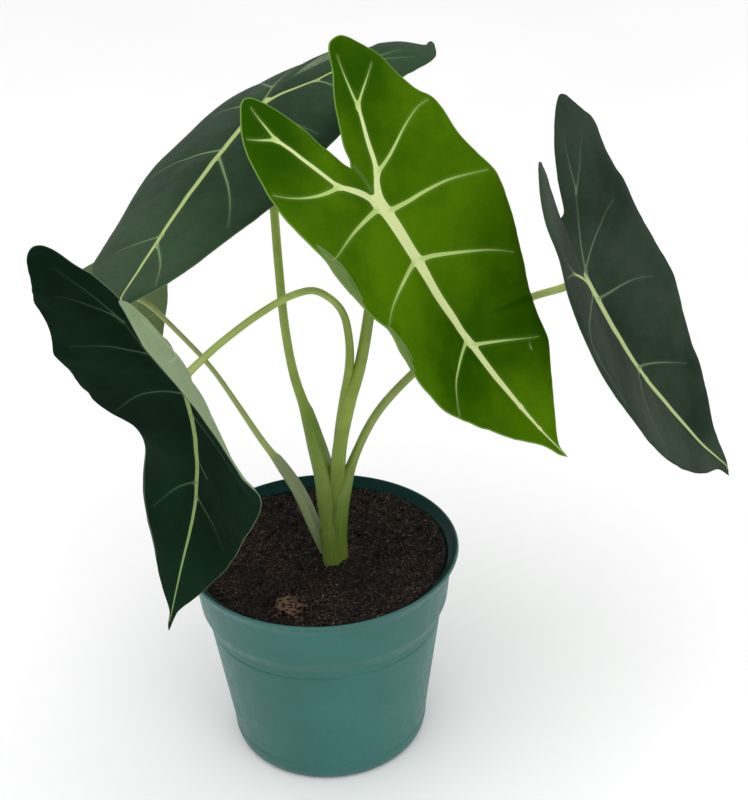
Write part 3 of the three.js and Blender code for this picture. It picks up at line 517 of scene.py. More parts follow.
def mesh_object(name, points, faces, attributes=None, uv=None, smooth=True):
    """An object from points in mm, with float attributes on its points and an optional UV map."""
    mesh = bpy.data.meshes.new(name)
    mesh.from_pydata((np.asarray(points) * MM).tolist(), [], [list(map(int, f)) for f in faces])
    for key, values in (attributes or {}).items():
        layer = mesh.attributes.new(key, "FLOAT", "POINT")
        layer.data.foreach_set("value", np.asarray(values, np.float32))
    if uv is not None:
        layer = mesh.uv_layers.new(name="flat")
        loops = np.empty(len(mesh.loops), int)
        mesh.loops.foreach_get("vertex_index", loops)
        layer.data.foreach_set("uv", np.asarray(uv, np.float32)[loops].ravel())
    mesh.polygons.foreach_set("use_smooth", [smooth] * len(mesh.polygons))
    mesh.update()
    piece = bpy.data.objects.new(name, mesh)
    bpy.context.scene.collection.objects.link(piece)
    return piece


def dress(piece, material, node=None):
    """Gives a piece its material, hangs it on the root body and hides the CAD node it stands for, if there is
    one.
    """
    piece.data.materials.append(material)
    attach(piece, "root")
    if node:
        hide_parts(node)


# Leaf blades
def fine_line(points, stride):
    """A centripetal Catmull-Rom curve through the points, as evenly spaced samples."""
    points = np.asarray(points, float)
    padded = np.vstack([2 * points[0] - points[1], points, 2 * points[-1] - points[-2]])
    fine = []
    for i in range(len(points) - 1):
        p = padded[i:i + 4]
        d0, d1, d2 = np.maximum(np.linalg.norm(np.diff(p, axis=0), axis=1) ** 0.5, 1e-4)
        m1 = ((p[1] - p[0]) / d0 - (p[2] - p[0]) / (d0 + d1) + (p[2] - p[1]) / d1) * d1
        m2 = ((p[2] - p[1]) / d1 - (p[3] - p[1]) / (d1 + d2) + (p[3] - p[2]) / d2) * d1
        t = np.linspace(0, 1, 25)[:-1, None]
        fine.append(p[1] + m1 * t + (3 * (p[2] - p[1]) - 2 * m1 - m2) * t ** 2
                    + (2 * (p[1] - p[2]) + m1 + m2) * t ** 3)
    fine = np.vstack([*fine, points[-1:]])
    length = np.concatenate([[0], np.cumsum(np.linalg.norm(np.diff(fine, axis=0), axis=1))])
    even = np.linspace(0, length[-1], max(2, round(length[-1] / stride)) + 1)
    return np.stack([np.interp(even, length, column) for column in fine.T], axis=1)


class Blade:
    """Middle surface of a blade: u runs along the midrib and v to the right, as shares of length."""

    def __init__(self, leaf, back):
        self.leaf = leaf
        spine = leaf["spine"]
        self.u = np.linspace(-back - 0.02, 1.01, FRAME_STEPS + 1)
        h, e, r = (math.radians(leaf[key]) for key in ("heading", "pitch", "roll"))
        ahead = np.array([math.cos(e) * math.sin(h), -math.cos(e) * math.cos(h), math.sin(e)])
        level = np.cross(ahead, (0, 0, 1))
        level /= np.linalg.norm(level)
        face = np.cross(level, ahead) * math.cos(r) + level * math.sin(r)
        right = np.cross(ahead, face)
        u = self.u
        bent = np.where(u >= 0, spine["bend"] * u + spine["bend_tip"] * u * u,
                        spine["lobe_bend"] * u / leaf["lobe"])
        down, away = np.radians(bent), np.radians(spine["side"] * u)
        tangent = (np.cos(down) * np.cos(away))[:, None] * ahead - np.sin(down)[:, None] * face
        tangent += (np.cos(down) * np.sin(away))[:, None] * right
        tangent = unit(tangent)
        stride = (u[1] - u[0]) * leaf["length"]
        point = np.vstack([np.zeros(3), np.cumsum((tangent[1:] + tangent[:-1]) * stride / 2, axis=0)])
        normal = unit(face - (tangent @ face)[:, None] * tangent)
        turn = np.radians(spine["twist"] * u)[:, None]
        self.normal = normal * np.cos(turn) + np.cross(tangent, normal) * np.sin(turn)
        self.across = np.cross(tangent, self.normal)
        seat = [np.interp(0, u, point[:, k]) for k in range(3)]
        self.point = point + np.array(leaf["seat"], float) - seat

    def along(self, u, values):
        seat, tip, lobe = values
        t = np.clip(np.where(u >= 0, u, -u / self.leaf["lobe"]), 0, 1)
        return seat + (np.where(u >= 0, tip, lobe) - seat) * t * t * (3 - 2 * t)

    def at(self, track, u):
        return np.stack([np.interp(u, self.u, track[:, k]) for k in range(3)], axis=1)

    def place(self, u, v):
        length, width = self.leaf["length"], self.leaf["width"]
        base, normal, across = (self.at(track, u) for track in (self.point, self.normal, self.across))
        a = np.abs(v) / width
        out, up = np.empty_like(u), np.empty_like(u)
        for side, chosen in (("right", v >= 0), ("left", v < 0)):
            half = self.leaf[side]
            w, b = u[chosen], a[chosen]
            fold = np.radians(self.along(w, half["fold"]))
            curl = np.radians(self.along(w, half["curl"]))
            curl = np.where(np.abs(curl) < 1e-6, 1e-6, curl)
            end = fold + curl * b
            height, phase = half["wave"]
            bump, seat = half["bump"]
            ripple = height * np.sin(2 * math.pi * RIPPLES * w + math.radians(phase))
            ripple = ripple * np.clip((1 - w) * 4, 0, 1)
            wave = (ripple + bump * np.exp(-(((w - seat) / BUMP_REACH) ** 2))) * b * b
            out[chosen] = width * length * (np.sin(end) - np.sin(fold)) / curl - wave * np.sin(end)
            up[chosen] = width * length * (np.cos(fold) - np.cos(end)) / curl + wave * np.cos(end)
        return base + across * (np.sign(v) * out)[:, None] + normal * up[:, None]

    def face(self, u, v):
        d = 0.006
        along = self.place(u + d, v) - self.place(u - d, v)
        across = self.place(u, v + d) - self.place(u, v - d)
        return unit(np.cross(across, along))


def shares(route):
    """The (u, v) rows of a route in shares of length."""
    return np.array(route).reshape(-1, 2) / 1000


def blade_back(name):
    """How far the longer lobe reaches behind the seat, as a share of length."""
    return max(-shares(run)[:, 0].min() for run in MARGINS[name].values())


def gap_to_route(points, route, half=(0, 0), taper=1.0):
    """Distance from 2-D points to a route less its half-width there, and the share along it."""
    share = np.linspace(0, 1, len(route))
    best, where = np.full(len(points), 1e9), np.zeros(len(points))
    for start, end, s0, s1 in zip(route[:-1], route[1:], share[:-1], share[1:]):
        run = end - start
        t = np.clip((points - start) @ run / max(run @ run, 1e-12), 0, 1)
        s = s0 + (s1 - s0) * t
        width = half[1] + (half[0] - half[1]) * (1 - s ** taper)
        gap = np.linalg.norm(points - start - t[:, None] * run, axis=1) - width
        where = np.where(gap < best, s, where)
        best = np.minimum(best, gap)
    return best, where


def depth_inside(points, ring):
    """Distance from 2-D points to the closed ring."""
    return gap_to_route(points, np.vstack([ring, ring[:1]]))[0]


def ring_normal(ring):
    return sideways(np.roll(ring, -1, axis=0) - np.roll(ring, 1, axis=0))


def outline(name):
    """The blade's closed margin in mm, flat, with a slight natural unevenness."""
    length = LEAVES[name]["length"]
    right, left = (fine_line(shares(MARGINS[name][side]) * length, MARGIN_STRIDE)
                   for side in ("right", "left"))
    run = np.vstack([right[:-1], (left * (1, -1))[::-1][:-1]])
    uneven = noise_sum(run, MARGIN_NOISE, SEED + 5)
    calm = smoothstep(0.97 * length, 0.85 * length, run[:, 0])
    return run + ring_normal(run) * (uneven * calm)[:, None]


def vein_runs(name):
    """Each vein as (kind, fine route in mm, half-widths, taper)."""
    length = LEAVES[name]["length"]
    made = []
    for part, sign in (("middle", 1), ("right", 1), ("left", -1)):
        for kind, root, end, route in VEINS[name][part]:
            line = fine_line(shares(route) * length * (1, sign), VEIN_STRIDE)
            made.append((kind, line, (root, end), TAPER[kind]))
    return made


def mark_and_light_runs(name):
    """Each mark, painted light and painted shade included, as (strength, half-widths, softness, fine route in
    mm).
    """
    length = LEAVES[name]["length"]
    return [(strength, half, soft, fine_line(shares(route) * length, VEIN_STRIDE))
            for strength, half, soft, route in MARKS_AND_PAINTED_LIGHT[name]]


def inside(points, ring):
    """Which 2-D points lie inside the closed ring."""
    crossings = np.zeros(len(points), int)
    for a, b in zip(ring, np.roll(ring, -1, axis=0)):
        low, high = (a, b) if a[1] <= b[1] else (b, a)
        level = (points[:, 1] >= low[1]) & (points[:, 1] < high[1])
        slope = (points[level, 1] - low[1]) / max(high[1] - low[1], 1e-12)
        crossings[level] += (low[0] + (high[0] - low[0]) * slope > points[level, 0])
    return crossings % 2 == 1


def thinned(groups):
    """Points of all groups in order, each kept only if it stands clear of those before it."""
    kept, cells = [], {}
    size = max(clear for _, clear in groups)
    for points, clear in groups:
        for x, y in points.tolist():
            i, j = int(x // size), int(y // size)
            near = (cells.get((i + a, j + b), ()) for a in (-1, 0, 1) for b in (-1, 0, 1))
            if clear and any((x - p) ** 2 + (y - q) ** 2 < clear * clear for cell in near for p, q in cell):
                continue
            kept.append((x, y))
            cells.setdefault((i, j), []).append((x, y))
    return np.array(kept)


def flat_sheet(name):
    """Flat points in mm and triangles: rows along the margin and the veins, evenly filled between."""
    ring = outline(name)
    normal = ring_normal(ring)
    inward = 1 if inside(ring[40:41] + normal[40:41] * 0.4, ring)[0] else -1
    rows = [ring[::step] + normal[::step] * inward * depth for depth, step in MARGIN_ROWS]
    centre, edges, outer = [], [], []
    for _, line, (root, end), taper in vein_runs(name):
        share = np.linspace(0, 1, len(line))
        across = sideways(np.gradient(line, axis=0))
        half = (end + (root - end) * (1 - share ** taper))[:, None]
        centre.append(line)
        edges += [line + across * half * side for side in (-1, -0.5, 0.5, 1)]
        outer += [line + across * (half + more) * side for side in (-1, 1) for more in VEIN_ROWS]
    for _, half, soft, line in mark_and_light_runs(name):
        across = sideways(np.gradient(line, axis=0))
        half = np.linspace(*half, len(line))[:, None]
        edges += [line + across * (half + more) * side for side in (-1, 1) for more in (-soft / 2, soft / 2)]
    low, high = ring.min(axis=0), ring.max(axis=0)
    x, y = np.meshgrid(np.arange(low[0], high[0], FILL_STRIDE * 0.87),
                       np.arange(low[1], high[1], FILL_STRIDE))
    y[:, ::2] += FILL_STRIDE / 2
    fill = np.stack([x.ravel(), y.ravel()], axis=1)
    made = [(ring, 0)]
    for group, clear in ((rows, 0.25), (centre, 0.2), (edges, 0.2), (outer, 0.3), ([fill], 0.8)):
        points = np.vstack(group)
        made.append((points[inside(points, ring) & (depth_inside(points, ring) > 0.2)], clear))
    points = [Vector(p) for p in thinned(made)]
    result = delaunay_2d_cdt(points, [], [list(range(len(ring)))], 1, 1e-7)
    return np.array([tuple(p) for p in result[0]]), np.array(result[2]), ring


def blade_piece(name):
    leaf = LEAVES[name]
    flat, triangles, ring = flat_sheet(name)
    u, v = flat.T / leaf["length"]
    blade = Blade(leaf, blade_back(name))
    total, main, along, pale, painted_light_and_tone = np.zeros((5, len(flat)))
    for kind, line, half, taper in vein_runs(name):
        gap, share = gap_to_route(flat, line, half, taper)
        weight = np.exp(-np.clip(gap / VEIN_FILLET, -40, 40))
        total += weight
        main += weight * (kind == "main")
        along += weight * (share if kind == "side" else 0)
    vein, main, along = -VEIN_FILLET * np.log(total), main / total, along / total
    edge = depth_inside(flat, ring)
    for strength, half, soft, line in mark_and_light_runs(name):
        # Pale marks, painted sheen among them, raise the pale share; dark marks add painted shade
        cover = strength * smoothstep(soft / 2, -soft / 2, gap_to_route(flat, line, half)[0])
        pale = np.maximum(pale, cover)
        painted_light_and_tone += np.minimum(cover, 0)
    # Painted light and painted shade in soft patches across the blade
    for centre_u, centre_v, radius, amount in PAINTED_LIGHT_PATCHES[name]:
        painted_light_and_tone += amount * np.exp(-((u - centre_u) ** 2 + (v - centre_v) ** 2) / radius ** 2)
    normal = blade.face(u, v)
    ridge = smoothstep(0.4, -0.4, vein)
    puff = QUILT * (1 - np.exp(-np.maximum(vein, 0) / QUILT_REACH)) * smoothstep(0, QUILT_EDGE, edge)
    middle = blade.place(u, v) + normal * (puff + 0.12 * value_noise(flat, 6, SEED))[:, None]
    half = EDGE_HALF + (BLADE_HALF - EDGE_HALF) * smoothstep(0, EDGE_WIDTH, edge)
    fade = np.where(u >= 0, 1 - 0.85 * u, np.maximum(0.35, 1 + u / 0.14))
    top_lift = ridge * (main * MIDRIB_RISE - (1 - main) * SIDE_VEIN_SINK)
    rib = ridge * (main * MIDRIB_DEPTH * fade + (1 - main) * SIDE_RIB_DEPTH * (1 - along))
    top = middle + normal * (half + top_lift)[:, None]
    under = middle - normal * (half + rib)[:, None]
    a, b, c = (top[triangles[:, k]] for k in range(3))
    turned = np.einsum("ij,ij->i", np.cross(b - a, c - a), normal[triangles[:, 0]]) < 0
    triangles = np.where(turned[:, None], triangles[:, ::-1], triangles)
    edges = {(t[i], t[(i + 1) % 3]) for t in triangles.tolist() for i in range(3)}
    rim = [edge for edge in sorted(edges) if (edge[1], edge[0]) not in edges]
    n = len(flat)
    walls = [(b, a, a + n) for a, b in rim] + [(b, a + n, b + n) for a, b in rim]
    faces = np.concatenate([triangles, triangles[:, ::-1] + n, np.array(walls)])
    attributes = {
        "vein": np.tile(vein, 2), "main": np.tile(main, 2), "edge": np.tile(edge, 2),
        "reach": np.tile(along, 2), "under": np.repeat([0.0, 1.0], n),
        "pale": np.tile(pale, 2), "painted_light_and_tone": np.tile(painted_light_and_tone, 2),
    }
    uv = np.tile(np.stack([v, u], axis=1) * 0.6 + (0.5, 0.4), (2, 1))
    piece = mesh_object("leaf_" + name, np.vstack([top, under]), faces, attributes, uv)
    dress(piece, leaf_material(name), "blade_" + name)


# Petioles
def shared_base(centre, around, radius):
    """Ring radii that take in the two petioles in front, up to where the three part."""
    reaches = [radius]
    for name in ("upper_left", "right"):
        path = np.array(PETIOLES[name]["path"], float)
        away = [np.interp(centre[2], path[:, 2], path[:, k]) - centre[k] for k in (0, 1)]
        along = around[:, :2] @ away
        chord = BASE["radius"][name] ** 2 - (np.dot(away, away) - along ** 2)
        reaches.append(np.where(chord > 0, along + np.sqrt(np.maximum(chord, 0)), 0))
    joined = sum(reach ** BASE["power"] for reach in reaches) ** (1 / BASE["power"])
    return radius + (joined - radius) * smoothstep(BASE["top"], BASE["full"], centre[2])


def tube(centres, radii, sides, adaxial=None, ridge=None, reshape=None):
    """Points and faces of a closed tube, with an optional pair of raised margins on one side."""
    tangent = unit(np.gradient(centres, axis=0))
    normal = np.cross(tangent[0], (0.3, 1, 0.1))
    cosines, sines = circle(sides)
    rings = []
    for i, centre in enumerate(centres):
        normal = normal - (normal @ tangent[i]) * tangent[i]
        normal /= np.linalg.norm(normal)
        binormal = np.cross(tangent[i], normal)
        around = cosines[:, None] * normal + sines[:, None] * binormal
        radius = np.full(sides, radii[i])
        if adaxial is not None:
            facing = adaxial[i] - (adaxial[i] @ tangent[i]) * tangent[i]
            facing /= max(np.linalg.norm(facing), 1e-9)
            turned = np.degrees(np.arccos(np.clip(around @ facing, -1, 1)))
            radius += ridge[i] * np.exp(-(((turned - SHEATH_ANGLE) / SHEATH_SPREAD) ** 2))
        if reshape:
            radius = reshape(centre, around, radius)
        rings.append(centre + around * radius[:, None])
    return np.vstack([*rings, centres[:1], centres[-1:]]), ring_faces(len(centres), sides)


def petiole_piece(name):
    stalk = PETIOLES[name]
    leaf = LEAVES[name]
    seat = np.array(leaf["seat"], float)
    blade = Blade(leaf, blade_back(name))
    normal = blade.face(np.zeros(1), np.zeros(1))[0]
    centres = fine_line([*stalk["path"], seat - normal * SEAT_DEPTH], STALK_STRIDE)
    length = np.linalg.norm(np.diff(centres, axis=0), axis=1).sum()
    share = np.linspace(0, 1, len(centres))
    radii = np.interp(share, *np.array(stalk["radius"], float).T)
    kernel = np.array([1, 2, 3, 2, 1]) / 9
    radii = np.convolve(np.pad(radii, 2, mode="edge"), kernel, mode="valid")
    radii = radii + FLARE["height"] * np.exp(-(1 - share) * length / FLARE["reach"])
    adaxial = (CROWN - centres) * (1, 1, 0) + (0, 0, 6)
    top = stalk["sheath"]
    ridge = np.zeros(len(share))
    if top:
        ridge = SHEATH_RIDGE * smoothstep(0, 0.6, share / top) * smoothstep(top + 0.006, top - 0.006, share)
    reshape = shared_base if name == "front" else None
    points, faces = tube(centres, radii, STALK_SIDES, adaxial, ridge, reshape)
    proud = np.maximum((points - seat) @ normal + 0.35, 0)
    points -= np.where(np.linalg.norm(points - seat, axis=1) < 8, proud, 0)[:, None] * normal
    rings = np.repeat(share, STALK_SIDES)
    around = np.tile(np.arange(STALK_SIDES) / STALK_SIDES, len(centres))
    along = np.concatenate([rings, [0, 1]])
    uv = np.stack([np.concatenate([around, [0, 0]]), along * length / 100], axis=1)
    sheathed = smoothstep(top + 0.01, top - 0.01, along) * (top > 0)
    attributes = {"along": along, "height": points[:, 2], "sheathed": sheathed}
    piece = mesh_object("stalk_" + name, points, faces, attributes, uv)
    dress(piece, petiole_material(name), "petiole_" + name)


# Pot
def inner_wall(offset):
    """Inner side of the wall from the floor up, as in the solids."""
    t = POT["wall"] + offset
    return [
        (POT["floor"], t),
        (POT["foot"] - t, POT["foot_rise"] + 0.5),
        (POT["shoulder"] - POT["crease"] - t, POT["crease_z"]),
        (POT["shoulder"] - t, POT["shoulder_z"] + 0.6),
        (POT["band_foot"] - t, POT["band_foot_z"] + 0.4),
        (POT["band_top"] - t, POT["height"] - POT["lip_height"]),
    ]


def rounded(profile, reach):
    """The profile with each corner turned into a short curve that starts reach mm from it."""
    profile = np.asarray(profile, float)
    made = [profile[0]]
    for before, corner, after in zip(profile[:-2], profile[1:-1], profile[2:]):
        back, ahead = before - corner, after - corner
        start = corner + back * min(reach / np.linalg.norm(back), 0.45)
        end = corner + ahead * min(reach / np.linalg.norm(ahead), 0.45)
        for t in np.linspace(0, 1, 7):
            made.append(start * (1 - t) ** 2 + 2 * corner * t * (1 - t) + end * t * t)
    return np.array([*made, profile[-1]])


def turned_piece(name, profile, sides):
    """A surface of revolution whose profile starts and ends on the axis."""
    rings = [ring_points(r, z, sides) for r, z in profile[1:-1]]
    points = np.vstack([*rings, (0, 0, profile[0][1]), (0, 0, profile[-1][1])])
    return mesh_object(name, points, ring_faces(len(rings), sides))


def pot_piece():
    height, rim = POT["height"], POT["rim"]
    outer = [
        (0, 0.6),
        (POT["floor"] - 5, 0.6),
        (POT["floor"] - 3.5, 0),
        (POT["floor"], 0),
        (POT["foot"] - 1, POT["foot_rise"] * 0.3),
        (POT["foot"], POT["foot_rise"]),
        (POT["foot"] + 0.35, POT["foot_rise"] + 3.2),
        (POT["foot"] + 0.15, POT["foot_rise"] + 3.6),
        (POT["shoulder"] - POT["crease"], POT["crease_z"] - 0.9),
        (POT["shoulder"] - 2 * POT["crease"], POT["crease_z"] - 0.1),
        (POT["shoulder"] - 0.3 * POT["crease"], POT["crease_z"] + 0.5),
        (POT["shoulder"], POT["shoulder_z"] - 0.4),
        (POT["shoulder"] + 0.5, POT["shoulder_z"] + 0.9),
        (POT["band_foot"] - 0.5, POT["band_foot_z"] - 0.9),
        (POT["band_foot"] + 0.05, POT["band_foot_z"] + 0.6),
        (POT["band_top"], height - 5.4),
        (POT["band_top"] + 1.0, height - 2.8),
        (rim - 0.3, height - 1.5),
        (rim, height - 0.8),
        (rim - 0.15, height),
        (rim - 0.95, height),
        (rim - POT["lip_width"], height - 2.0),
    ]
    profile = rounded([*outer, *inner_wall(0)[::-1], (0, POT["wall"])], 0.8)
    piece = turned_piece("nursery_pot", profile, POT_SIDES)
    bpy.context.view_layer.update()
    sides = DRAIN["sides"]
    walls = [[k, (k + 1) % sides, sides + (k + 1) % sides, sides + k] for k in range(sides)]
    caps = [list(range(sides - 1, -1, -1)), list(range(sides, 2 * sides))]
    for i in range(DRAIN["count"]):
        angle = 2 * math.pi * (i + 0.5) / DRAIN["count"]
        place = np.array([math.cos(angle), math.sin(angle), 0]) * DRAIN["circle"]
        ends = [ring_points(DRAIN["radius"], z, sides) + place for z in (-3, 6)]
        cutter = mesh_object("drain_cutter", np.vstack(ends), walls + caps, smooth=False)
        cut = piece.modifiers.new("drain", "BOOLEAN")
        cut.operation, cut.solver, cut.object = "DIFFERENCE", "MANIFOLD", cutter
        with bpy.context.temp_override(object=piece, active_object=piece, selected_objects=[piece]):
            bpy.ops.object.modifier_apply(modifier=cut.name)
        bpy.data.objects.remove(cutter)
    piece.data.materials.clear()
    dress(piece, pot_material(), "pot")


# Potting mix
def soil_height(x, y):
    """The solid's uneven surface, before any crumbs."""
    r = np.hypot(x, y) / SOIL["radius"]
    broad = np.sin(0.21 * x + 1.3) * np.cos(0.17 * y - 0.6)
    lumps = broad + 0.6 * np.sin(0.34 * x - 0.29 * y + 2)
    fine = np.sin(0.93 * x + 0.4 * y) * np.sin(0.71 * y - 0.5 * x + 1)
    crumbs = fine + 0.6 * np.sin(1.4 * x - 1.2 * y)
    away = np.hypot(x - MOUND["x"], y - MOUND["y"]) / MOUND["radius"]
    heap = MOUND["height"] * np.exp(-away * away)
    base = SOIL["level"] - SOIL["dip"] * (1 - r * r) + SOIL["tilt"] * (x + y)
    return base + heap + SOIL["lump"] * lumps + SOIL["crumb"] * crumbs


def soil_edge():
    (low_r, low_z), (top_r, top_z) = inner_wall(SOIL["gap"])[-2:]
    return low_r + (top_r - low_r) * (SOIL["level"] - 1 - low_z) / (top_z - low_z)


def soil_surface(x, y):
    """Height of the crumbly surface at (x, y), sinking a little to the wall."""
    inside = np.clip((soil_edge() - np.hypot(x, y)) / 4 + 0.6, 0, 1)
    base = SOIL["level"] - 1 + (soil_height(x, y) - SOIL["level"] + 1) * inside
    spots = np.stack([x, y], axis=1)
    rough = noise_sum(spots, SOIL_NOISE, SEED + 1)
    rough += 0.3 * np.abs(value_noise(spots, 0.6, SEED + 3))
    hollow = np.clip(value_noise(spots, 7, SEED + 4) - 0.35, 0, 1) * 2.2
    return base + rough - hollow


def ground(x, y):
    """Height of the crumbly surface at one spot."""
    return soil_surface(np.array([x]), np.array([y]))[0]


def chunk(rng, size, squash):
    """A rough pebble of 12 points and 20 faces."""
    g = (1 + 5 ** 0.5) / 2
    corners = np.array([(-1, g, 0), (1, g, 0), (-1, -g, 0), (1, -g, 0), (0, -1, g), (0, 1, g),
                        (0, -1, -g), (0, 1, -g), (g, 0, -1), (g, 0, 1), (-g, 0, -1), (-g, 0, 1)]) / 1.9
    corners = corners * rng.uniform(0.72, 1.2, (12, 1)) * size * np.array([1, rng.uniform(0.5, 1), squash])
    spin = Matrix.Rotation(rng.uniform(0, 6.28), 3, "Z") @ Matrix.Rotation(rng.uniform(-0.7, 0.7), 3, "X")
    return corners @ np.array(spin).T


CHUNK_FACES = np.array([(0, 11, 5), (0, 5, 1), (0, 1, 7), (0, 7, 10), (0, 10, 11), (1, 5, 9), (5, 11, 4),
                        (11, 10, 2), (10, 7, 6), (7, 1, 8), (3, 9, 4), (3, 4, 2), (3, 2, 6), (3, 6, 8),
                        (3, 8, 9), (4, 9, 5), (2, 4, 11), (6, 2, 10), (8, 6, 7), (9, 8, 1)])


def soil_piece():
    radii = soil_edge() * (np.arange(1, SOIL_RINGS + 1) / SOIL_RINGS) ** 0.85
    x, y = ((radii[:, None] * f).ravel() for f in circle(SOIL_SIDES))
    wall = inner_wall(SOIL["gap"])[-2::-1]
    sides = [ring_points(r, z, SOIL_SIDES) for r, z in wall]
    top = np.column_stack([x, y, soil_surface(x, y)])
    points = np.vstack([top, *sides, (0, 0, ground(0.0, 0.0)), (0, 0, wall[-1][1])])
    faces = ring_faces(SOIL_RINGS + len(wall), SOIL_SIDES, turned=True)
    piece = mesh_object("potting_mix", points, faces, {"shade": np.full(len(points), 0.3)})
    dress(piece, soil_material(), "soil")


def crumbs_piece():
    rng = np.random.default_rng(SEED)
    placed = []
    for _ in range(CRUMBS):
        r = (soil_edge() - 1.2) * math.sqrt(rng.uniform(0, 1))
        angle = rng.uniform(0, 2 * math.pi)
        size = 0.28 + 0.95 * rng.power(0.45) ** 3
        squash, shade = rng.uniform(0.45, 0.9), rng.uniform(0, 1)
        placed.append((r * math.cos(angle), r * math.sin(angle), size, squash, shade))
    for _ in range(CLOD["crumbs"]):
        dx, dy = rng.normal(0, 4.4), rng.normal(0, 3.2)
        placed.append((CLOD["x"] + dx, CLOD["y"] + dy, rng.uniform(0.4, 1.1), 0.8, rng.uniform(1.1, 1.4)))
    x, y, size, squash, shade = np.array(placed).T
    spots = np.column_stack([x, y, soil_surface(x, y) + 0.25 * size])
    points = [chunk(rng, *look) + spot for *look, spot in zip(size, squash, spots)]
    faces = [CHUNK_FACES + 12 * i for i in range(len(placed))]
    shades = {"shade": np.repeat(shade, 12)}
    piece = mesh_object("soil_crumbs", np.vstack(points), np.vstack(faces), shades, smooth=False)
    dress(piece, soil_material())


def clod_piece():
    """The pale lump of old mix near the front of the pot."""
    sides, rings = CLOD["sides"], CLOD["rings"]
    downs = math.pi * (np.arange(rings) + 0.5) / rings
    shape = np.vstack([ring_points(math.sin(down), math.cos(down), sides) for down in downs])
    rough = noise_sum(shape[:, :2] * 3 + shape[:, 2:] * 2, CLOD_NOISE, SEED + 8)
    lump = shape * np.array(CLOD["size"]) * (1 + rough)[:, None]
    lump += (CLOD["x"], CLOD["y"], ground(CLOD["x"], CLOD["y"]) + 0.6)
    points = np.vstack([lump, lump[:sides].mean(axis=0), lump[-sides:].mean(axis=0)])
    # Painted light on the bumps and painted shade in the hollows, from the roughness
    shade = np.append(1.2 + 0.8 * rough, [1.2, 1.2])
    piece = mesh_object("soil_clod", points, ring_faces(rings, sides, turned=True), {"shade": shade})
    dress(piece, soil_material())


def fibres_piece():
    rng = np.random.default_rng(SEED + 7)
    points, faces = [], []
    routes = [[(-2.5, -31, 0.6), (2, -28, 0.9), (8, -25.5, 0.8), (13, -23, 0.5)],
              [(-3, -31.5, 0.6), (-4, -34.5, 0.8), (-3.4, -37.5, 0.5)]]
    for _ in range(FIBRES):
        r, angle = (soil_edge() - 4) * math.sqrt(rng.uniform(0, 1)), rng.uniform(0, 2 * math.pi)
        x, y = r * math.cos(angle), r * math.sin(angle)
        heading, length = rng.uniform(0, 2 * math.pi), rng.uniform(2, 7)
        route = []
        for _ in range(4):
            route.append((x, y, rng.uniform(0.1, 0.7)))
            heading += rng.uniform(-0.7, 0.7)
            x, y = x + length / 3 * math.cos(heading), y + length / 3 * math.sin(heading)
        routes.append([p for p in route if math.hypot(p[0], p[1]) < soil_edge() - 1])
    for route in routes:
        if len(route) < 3:
            continue
        line = fine_line(route, 0.5)
        line[:, 2] += soil_surface(line[:, 0], line[:, 1])
        made, quads = tube(line, FIBRE_RADIUS * np.linspace(1, 0.5, len(line)), 5)
        start = sum(len(p) for p in points)
        faces += [[i + start for i in f] for f in quads]
        points.append(made)
    piece = mesh_object("root_fibres", np.vstack(points), faces)
    dress(piece, fibre_material())


# Materials
class Shader:
    """A material's node tree with short calls for the nodes used here."""

    def __init__(self, name):
        self.material = bpy.data.materials.new(name)
        self.material.use_nodes = True
        self.nodes = self.material.node_tree.nodes
        self.bsdf = self.nodes["Principled BSDF"]

    def link(self, value, socket):
        if isinstance(value, bpy.types.NodeSocket):
            self.material.node_tree.links.new(value, socket)
        else:
            socket.default_value = value

    def node(self, kind, output, inputs=(), **settings):
        """One output of a new node, with its inputs linked or set."""
        node = self.nodes.new(kind)
        for key, value in settings.items():
            setattr(node, key, value)
        for key, value in dict(inputs).items():
            self.link(value, node.inputs[key])
        return node.outputs[output]

    def attribute(self, name):
        return self.node("ShaderNodeAttribute", "Fac", attribute_name=name)

    def coords(self, kind="Object"):
        return self.node("ShaderNodeTexCoord", kind)

    def stretched(self, coords, scale):
        return self.node("ShaderNodeMapping", "Vector", {"Vector": coords, "Scale": scale})

    def noise(self, coords, scale, detail=3, rough=0.5):
        inputs = {"Vector": coords, "Scale": scale, "Detail": detail, "Roughness": rough}
        return self.node("ShaderNodeTexNoise", "Fac", inputs)

    def math(self, operation, a, b):
        return self.node("ShaderNodeMath", 0, {0: a, 1: b}, operation=operation)

    def between(self, value, low, high, out=(0.0, 1.0)):
        """A smooth step of the value from low to high."""
        inputs = {"Value": value, "From Min": low, "From Max": high, "To Min": out[0], "To Max": out[1]}
        return self.node("ShaderNodeMapRange", "Result", inputs, interpolation_type="SMOOTHSTEP")

    def mix(self, factor, a, b):
        return self.node("ShaderNodeMix", 2, {0: factor, 6: a, 7: b}, data_type="RGBA")

    def tint(self, body, value, low, high, colour, strength=1.0):
        """The body turned to an 8-bit sRGB colour as the value goes from low to high."""
        return self.mix(self.between(value, low, high, (0.0, strength)), body, srgb(colour))

    def bump(self, height, distance, strength, **below):
        inputs = {"Height": height, "Distance": distance, "Strength": strength, **below}
        return self.node("ShaderNodeBump", "Normal", inputs)

    def set(self, **sockets):
        for name, value in sockets.items():
            self.link(value, self.bsdf.inputs[name.replace("_", " ")])


